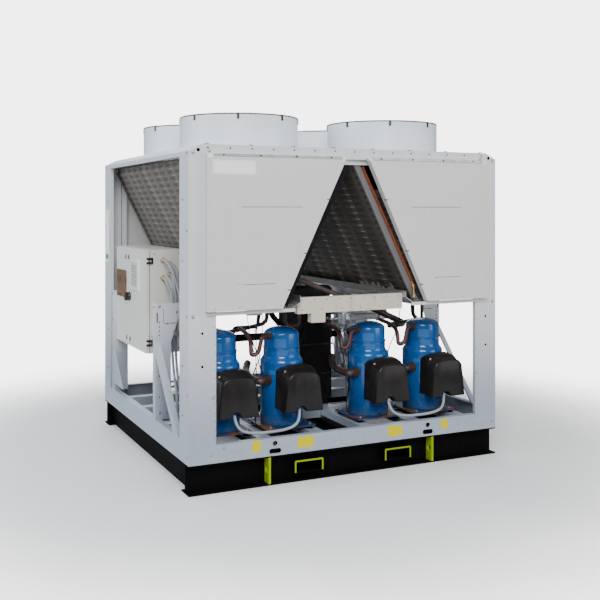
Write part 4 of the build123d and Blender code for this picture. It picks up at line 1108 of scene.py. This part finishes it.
class CHILLER_OT_hoods(ChillerOperator, bpy.types.Operator):
    """Moulded terminal hoods with an arched top, a front face that stands in, and a cable notch"""

    bl_idname = "chiller.hoods"
    bl_label = "Terminal hoods"

    def outline(self, width, low, crown, top_share, notch=0.038, count=27):
        """Upper edge level, its corners falling as the sixth power; lower edge level with a round notch."""
        across = np.linspace(-1, 1, count)
        corner_fall, arch = 0.034, 0.012
        top = crown - corner_fall * np.abs(across) ** 6 - arch * across ** 2
        under = across * width / 2
        drop = np.sqrt(np.clip(1 - ((under + 0.019) / notch) ** 2, 0, 1)) * notch
        return np.concatenate([np.stack([under, low + drop], -1),
                               np.stack([under * top_share, top], -1)[::-1]])

    def make(self, look, sizes):
        low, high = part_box("terminal_hoods")
        width, depth = 0.292, 0.18
        bottom, crown, front = low.z, high.z, low.y
        # Depth from the front, inset of sides and of top, lift of the lower edge, width of top to bottom
        sections = ((0.0, 0.013, 0.046, 0.002, 0.82), (0.004, 0.005, 0.038, -0.006, 0.82),
                    (0.012, 0.0, 0.032, -0.009, 0.83), (0.07, 0.0, 0.024, -0.007, 0.86),
                    (0.078, 0.001, 0.014, -0.004, 0.89), (0.09, 0.002, 0.007, 0.0, 0.91),
                    (0.135, 0.003, 0.0, 0.0, 0.94), (depth - 0.006, 0.0, 0.0, 0.0, 0.95),
                    (depth, 0.004, 0.004, 0.004, 0.94))
        hoods, screws, ovals = [], [], []
        for node in compressors:
            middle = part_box(node)[1].x - axis_in + hood_aside
            rings = []
            for y, side_in, top_in, lift, share in sections:
                outline = self.outline(width - 2 * side_in, bottom + lift, crown - top_in, share)
                rings.append(placed(outline + (middle, 0), front + y, 1))
            hoods.append(skin(rings))
            oval = ring(32) * (0.05, 0.02) + (middle, bottom + 0.17)
            ovals.append(sweep(placed(oval, front + 0.001, 1), 0.0016, 8, loop=True))
            screws.append((middle - width / 2 + 0.034, front + 0.08, crown - 0.036))
        piece("hood_shells", hoods, "hood", replaces=("terminal_hoods",), sharp=50)
        piece("hood_ovals", ovals, "hood")
        piece("hood_screws", stamp(fastener(0.006, 0.004), screws, "front"), "steel")


class CHILLER_OT_compressors(ChillerOperator, bpy.types.Operator):
    """Shells turned from one profile, foot plates, rubber feet, stub collars and pale labels"""

    bl_idname = "chiller.compressors"
    bl_label = "Compressors"

    def make(self, look, sizes):
        shells, plates, feet, collars, labels, lugs = [], [], [], [], [], []
        lower, upper, foot_h, foot_out, plate_width = 0.1515, 0.1285, 0.128, 0.15, 0.376
        turn = np.linspace(0, math.pi / 2, 12)
        neck = np.linspace(0, 1, 9)
        profile = [(lower - 0.006, foot_h), (lower, foot_h + 0.008), (lower, 0.556)]
        profile += [(lower + (upper - lower) * (3 * t * t - 2 * t ** 3), 0.562 + 0.049 * t) for t in neck]
        profile += [(upper, 0.64), (upper, 0.658), (upper + 0.003, 0.661), (upper + 0.003, 0.667),
                    (upper - 0.003, 0.670), (upper - 0.003, 0.755)]
        profile += [((upper - 0.003) * math.cos(t), 0.755 + 0.052 * math.sin(t)) for t in turn[1:]]
        stub_turn = math.radians(205)
        out = np.array((math.cos(stub_turn), math.sin(stub_turn), 0))
        for node in compressors:
            low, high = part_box(node)
            x, y = high.x - axis_in, high.y - axis_in
            shells.append(stamp(lathe(profile, 72), (x, y, skid_top)))
            plates.append(stamp(slab(plate_width, plate_width, 0.01, 0.02, 0.0015),
                                (x, y, foot_h - 0.01 + skid_top)))
            corners = [(x + sx * foot_out, y + sy * foot_out, low.z) for sx in (-1, 1) for sy in (-1, 1)]
            grommet = lathe(((0.02, 0), (0.022, 0.004), (0.016, 0.01), (0.022, 0.016), (0.02, 0.02)), 20)
            feet.append(stamp(grommet, corners))
            lugs.append(stamp(fastener(0.009, 0.012), [(a, b, c + 0.03) for a, b, c in corners]))
            centre = np.array((x, y, skid_top))
            for h, radius, reach in ((0.752, 0.02, upper), (0.445, 0.03, lower)):
                start = centre + (0, 0, h) + out * (reach - 0.012)
                collar = np.array([start + out * s for s in (0, 0.012, 0.014, 0.034, 0.036, 0.041)])
                collars.append(sweep(collar, np.array((1.35, 1.35, 1.0, 1.0, 1.22, 1.22)) * radius, 24))
            labels += self.patch(x, y, 0.70 + skid_top, upper - 0.0025, math.radians(-118), 0.085, 0.062)
            labels += self.patch(x, y, 0.628 + skid_top, upper, math.radians(-112), 0.075, 0.034)
            labels += self.patch(x, y, 0.50 + skid_top, lower, math.radians(-140), 0.05, 0.03)
        piece("compressor_shells", shells, "blue", replaces=compressors, sharp=60)
        piece("compressor_plates", plates, "foot")
        piece("compressor_feet", feet, "rubber")
        piece("compressor_bolts", lugs, "steel")
        piece("stub_collars", collars, "brown")
        piece("shell_labels", labels, "patch")

    def patch(self, x, y, z, radius, angle, width, height):
        """Thin sheet on a round shell: upright sections side by side, whose ends are lower at the corners."""
        across = np.linspace(-1, 1, 15)
        turns = angle + across * width / 2 / radius
        tall = height / 2 * (1 - 0.12 * np.abs(across) ** 14)
        inner, outer = radius - 0.0005, radius + 0.0008
        corners = [(r * np.cos(turns) + x, r * np.sin(turns) + y, z + up * tall)
                   for r, up in ((inner, -1), (outer, -1), (outer, 1), (inner, 1))]
        return [skin(np.stack([np.stack(corner, -1) for corner in corners], 1))]


# Height just under the module beams, where pipes end out of sight
UNDER = 0.925

# Runs of pipe: way points from the body's corner, radius, radius of the bends, points round
BROWN_RUNS = (
    (((1.828, 0.95, UNDER), (1.86, 0.95, 0.84), (2.212, 0.95, 0.682), (2.212, 1.2, 0.64)), 0.026, 0.07),
    (((1.04, 0.8, UNDER), (1.04, 0.8, 0.745), (1.16, 0.8, 0.735), (1.16, 0.8, UNDER)), 0.016, 0.045),
    (((2.062, 0.6, UNDER), (2.062, 0.6, 0.8), (2.124, 0.62, 0.76), (2.124, 0.9, 0.7)), 0.015, 0.05),
    (((2.148, 0.6, UNDER), (2.148, 0.6, 0.62), (2.148, 0.75, 0.5)), 0.012, 0.04),
    (((0.82, 0.3, 1.165), (0.912, 0.3, 1.138), (1.245, 0.3, 1.012), (1.42, 0.34, 0.94)), 0.018, 0.06),
    (((0.81, 0.62, UNDER), (0.81, 0.62, 0.8), (0.52, 0.66, 0.74), (0.45, 1.1, 0.74)), 0.015, 0.05),
)
BLACK_RUNS = (
    (((0.929, 0.85, UNDER), (0.94, 0.85, 0.84), (1.06, 0.85, 0.7), (1.06, 0.85, 0.5)), 0.021, 0.05),
    (((0.59, 0.75, 0.7), (0.6, 0.75, 0.76), (0.79, 0.75, 0.757), (0.81, 0.75, UNDER)), 0.014, 0.03),
    (((0.66, 0.98, 0.62), (0.66, 0.9, 0.66), (1.21, 0.9, 0.66)), 0.028, 0.06),
    (((1.49, 1.2, 0.6), (1.7, 1.2, 0.6), (1.75, 0.72, 0.62), (1.75, 0.62, 0.62)), 0.028, 0.08),
    (((1.28, 0.95, 0.8), (1.28, 0.95, 0.97), (1.28, 0.52, 1.03), (0.72, 0.52, 1.03)), 0.045, 0.09, 20),
    (((1.39, 1.05, 0.8), (1.39, 1.05, 0.94), (1.39, 0.78, 0.99), (0.74, 0.78, 1.0)), 0.04, 0.08, 20),
)
PUMP_RUNS = (
    (((1.45, 0.62, 0.86), (1.45, 0.62, UNDER)), 0.018),
    (((1.45, 0.62, 0.73), (1.44, 0.62, 0.7)), 0.02),
    (((1.44, 0.62, 0.54), (1.44, 0.62, 0.44), (1.47, 0.7, 0.4), (1.47, 0.86, 0.4)), 0.02, 0.05),
    (((1.395, 0.62, 0.8), (1.34, 0.62, 0.8), (1.34, 0.8, 0.8)), 0.012, 0.03),
)
THIN_RUNS = (
    (((1.265, 0.5, UNDER), (1.262, 0.5, 0.79), (1.29, 0.46, 0.59), (1.285, 0.45, 0.42)), 0.0035, 0.06, 8),
    (((1.31, 0.55, UNDER), (1.33, 0.5, 0.7), (1.36, 0.42, 0.5), (1.36, 0.4, 0.13)), 0.003, 0.08, 8),
    (((0.72, 0.56, UNDER), (0.7, 0.56, 0.7), (0.68, 0.52, 0.55), (0.69, 0.5, 0.2)), 0.0035, 0.08, 8),
    (((1.93, 0.56, UNDER), (1.9, 0.56, 0.7), (1.8, 0.55, 0.55), (1.78, 0.5, 0.2)), 0.0035, 0.08, 8),
    (((0.6, 0.5, 0.92), (0.62, 0.5, 0.75), (0.66, 0.5, 0.6)), 0.003, 0.06, 8),
    (((0.676, 0.45, UNDER), (0.65, 0.45, 0.77), (0.62, 0.45, 0.67), (0.69, 0.44, 0.6), (0.645, 0.45, 0.5),
      (0.61, 0.44, 0.42), (0.63, 0.4, 0.13)), 0.004, 0.05, 8),
    (((0.7, 0.47, UNDER), (0.72, 0.47, 0.8), (0.66, 0.46, 0.6), (0.7, 0.45, 0.45), (0.72, 0.4, 0.13)),
     0.003, 0.05, 8),
    (((1.3, 0.42, 0.5), (1.334, 0.35, 0.397), (1.36, 0.34, 0.307), (1.43, 0.3, 0.21), (1.55, 0.2, 0.132)),
     0.004, 0.05, 8),
)


class CHILLER_OT_piping(ChillerOperator, bpy.types.Operator):
    """Pipework, valves and pumps behind the compressors"""

    bl_idname = "chiller.piping"
    bl_label = "Pipework"

    def run(self, points, radius, corner=0.05, count=14):
        """Pipe with rounded corners."""
        return sweep(bend([at(*point) for point in points], corner), radius, count)

    def make(self, look, sizes):
        brown, black, pump_runs, thin = ([self.run(*entry) for entry in runs]
                                         for runs in (BROWN_RUNS, BLACK_RUNS, PUMP_RUNS, THIN_RUNS))
        upper = lathe(((0.0, -0.07), (0.035, -0.07), (0.035, -0.045), (0.055, -0.04), (0.055, 0.04),
                       (0.035, 0.045), (0.035, 0.07), (0.0, 0.07)), 28)
        lower = lathe(((0.0, -0.09), (0.03, -0.085), (0.042, -0.06), (0.042, 0.05), (0.03, 0.08),
                       (0.0, 0.085)), 28)
        cap = lathe(((0.022, 0), (0.022, 0.012), (0.012, 0.014), (0.012, 0.03), (0.0, 0.03)), 6)
        silver = [stamp(upper, at(1.45, 0.62, 0.8)), stamp(lower, at(1.44, 0.62, 0.62)), *pump_runs,
                  stamp(cap, at(1.45, 0.565, 0.8), "front")]
        large = [self.run(((1.475, 1.45, 0.77), (2.2, 1.45, 0.77), (2.33, 1.6, 0.72)), 0.045, 0.1, 24)]
        bands = [sweep([at(x, 1.45, 0.77), at(x + 0.03, 1.45, 0.77)], 0.05, 24) for x in (1.9, 2.1)]
        piece("brown_pipes", brown, "brown")
        piece("black_pipes", black, "rubber")
        piece("pump_set", silver, "silver")
        piece("header_pipe", large, "silver")
        piece("header_bands", bands, "steel")
        piece("sensor_leads", thin, "black")
        low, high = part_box("evaporator")
        strap, middle = bevelled((high.x - low.x + 0.004, 0.006, 0.014)), (low.x + high.x) / 2
        straps = stamp(strap, [(middle, low.y - 0.001, low.z + rise) for rise in (0.25, 0.48)])
        piece("insulation_straps", straps, "black")


class CHILLER_OT_cabinet(ChillerOperator, bpy.types.Operator):
    """Vent louvres, window frame, rotary handle, locks, seal, gland nuts, screws and box lids"""

    bl_idname = "chiller.cabinet"
    bl_label = "Cabinet"
    lid_thick = 0.004

    def make(self, look, sizes):
        low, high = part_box("door_vent")
        y, z, face = (low.y + high.y) / 2, (low.z + high.z) / 2, high.x
        width, height, depth = high.y - low.y, high.z - low.z, high.x - low.x
        levels = ((0, 0), (0, 0.003), (0.006, depth - 0.004), (0.012, depth - 0.002),
                  (0.03, depth - 0.002), (0.034, depth - 0.007))
        vent = [stamp(loft(rounded_rectangle(width, height, 0.014, 5), levels), (face, y, z), "left")]
        # Grey plate behind the louvre blades, in the cable duct's finish: painted shade between the blades
        back = (face - depth + 0.0075, y, z)
        shade = stamp(slab(width - 0.078, height - 0.078, 0.0008, 0.01), back, "left")
        piece("vent_back_shade", shade, "duct", "door")
        rows = np.linspace(low.z + 0.045, high.z - 0.045, 11)
        blade = leaned(bevelled((0.003, width - 0.074, 0.016), 0.0008), -0.6)
        vent.append(stamp(blade, [(low.x + 0.006, y, row) for row in rows]))
        piece("vent_louvres", vent, "cabinet", "door", replaces=("door_vent",))

        low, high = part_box("door_window")
        y, z = (low.y + high.y) / 2, (low.z + high.z) / 2
        width, height = high.y - low.y, high.z - low.z
        outer, inner = (rounded_rectangle(width + grow, height + grow, 0.012) for grow in (0.012, -0.016))
        section = ((outer, 0.0), (outer, 0.005), (outer * 0.985, 0.007), (inner * 1.02, 0.007),
                   (inner, 0.0055), (inner, 0.0))
        rings = [placed(outline, rise) for outline, rise in section]
        piece("window_frame", stamp(skin(rings, loop=True), (high.x, y, z), "left"), "window",
              "door")

        low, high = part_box("main_switch")
        y, z = (low.y + high.y) / 2, (low.z + high.z) / 2
        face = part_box("cabinet_door")[0].x - 0.001
        rose = lathe(((0.034, 0.0), (0.034, 0.012), (0.03, 0.018), (0.018, 0.02)), 40)
        grip = loft(rounded_rectangle(0.02, 0.066, 0.008, 5),
                    ((0.0, 0.016), (-0.001, 0.028), (0.0, 0.037), (0.003, 0.0405)))
        shaft = lathe(((0.005, -0.015), (0.005, 0.004)), 16)
        handle = stamp(joined([rose, grip, shaft]), (face, y, z), "left")
        piece("rotary_handle", handle, "black", "switch",
              replaces=("main_switch",))
        plate = stamp(slab(0.012, 0.03, 0.0008, 0.004), (face - 0.0405, y, z + 0.014), "left")
        piece("handle_mark", plate, "red", "switch")

        locks = []
        cabinet_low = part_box("cabinet_body")[0]
        for dy, dz in ((0.567, 0.697), (0.481, 0.697), (0.537, 0.057), (0.439, 0.057)):
            cap = loft(rounded_rectangle(0.024, 0.036, 0.0115, 6), ((0, 0), (0.001, 0.003), (0.005, 0.0045)))
            locks.append(stamp(cap, (face + 0.001, cabinet_low.y + dy, cabinet_low.z + dz), "left"))
        piece("door_locks", locks, "black", "door")
        seal = rounded_rectangle(0.86, 0.762, 0.004) + (cabinet_low.y + 0.435, cabinet_low.z + 0.386)
        door_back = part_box("cabinet_door")[1].x
        line = sweep(placed(seal, door_back + 0.0015, 0), 0.0022, 6, loop=True)
        piece("door_seal", line, "shade", "door")

        nut = joined([lathe(((0.0205, 0), (0.0205, 0.006)), 6),
                      lathe(((0.0175, 0.006), (0.0175, 0.016), (0.0145, 0.025), (0.0105, 0.026)), 20)])
        places = [at(x, cabinet_front, cabinet_top - below_top) for x, below_top in glands]
        piece("gland_nuts", stamp(nut, places, "front"), "brass", replaces=("cable_glands",))
        low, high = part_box("cabinet_body")
        corners = [(x, low.y, z) for x in (low.x + 0.03, high.x - 0.03)
                   for z in (low.z + 0.03, high.z - 0.03)]
        piece("cabinet_screws", stamp(fastener(0.005, 0.004), corners, "front"), "steel")
        lid = slab(0.106, 0.058, self.lid_thick, 0.005, 0.0015)
        piece("box_lids", stamp(lid, self.lids()), "beige")

    def lids(self):
        """Middles of the lids' undersides, a lid's thickness below the two junction boxes."""
        low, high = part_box("junction_boxes")
        return ((low.x + 0.055, high.y - 0.031, high.z - 0.062 - self.lid_thick),
                (high.x - 0.055, low.y + 0.031, low.z - self.lid_thick))


class CHILLER_PT_panel(bpy.types.Panel):
    """Lists the sizes, the colours and every step"""

    bl_idname = "CHILLER_PT_panel"
    bl_label = "Water Chiller"
    bl_space_type = "VIEW_3D"
    bl_region_type = "UI"
    bl_category = "Chiller"

    def draw(self, context):
        for group in (context.scene.chiller_look, context.scene.chiller_sizes):
            for name in group.__annotations__:
                self.layout.prop(group, name)
        for step in STEPS:
            self.layout.operator(step.bl_idname)


STEPS = (CHILLER_OT_stage, CHILLER_OT_paint, CHILLER_OT_cables, CHILLER_OT_roof, CHILLER_OT_panels,
         CHILLER_OT_posts, CHILLER_OT_rails, CHILLER_OT_coils, CHILLER_OT_hoods, CHILLER_OT_compressors,
         CHILLER_OT_piping, CHILLER_OT_cabinet)
CLASSES = (ChillerLook, ChillerSizes, *STEPS, CHILLER_PT_panel)


def register():
    for made in CLASSES:
        bpy.utils.register_class(made)
    bpy.types.Scene.chiller_look = PointerProperty(type=ChillerLook)
    bpy.types.Scene.chiller_sizes = PointerProperty(type=ChillerSizes)


def unregister():
    del bpy.types.Scene.chiller_look
    del bpy.types.Scene.chiller_sizes
    for made in reversed(CLASSES):
        bpy.utils.unregister_class(made)


def main():
    register()
    for step in STEPS:
        group, name = step.bl_idname.split(".")
        getattr(getattr(bpy.ops, group), name)()


if __name__ == "__main__":
    main()
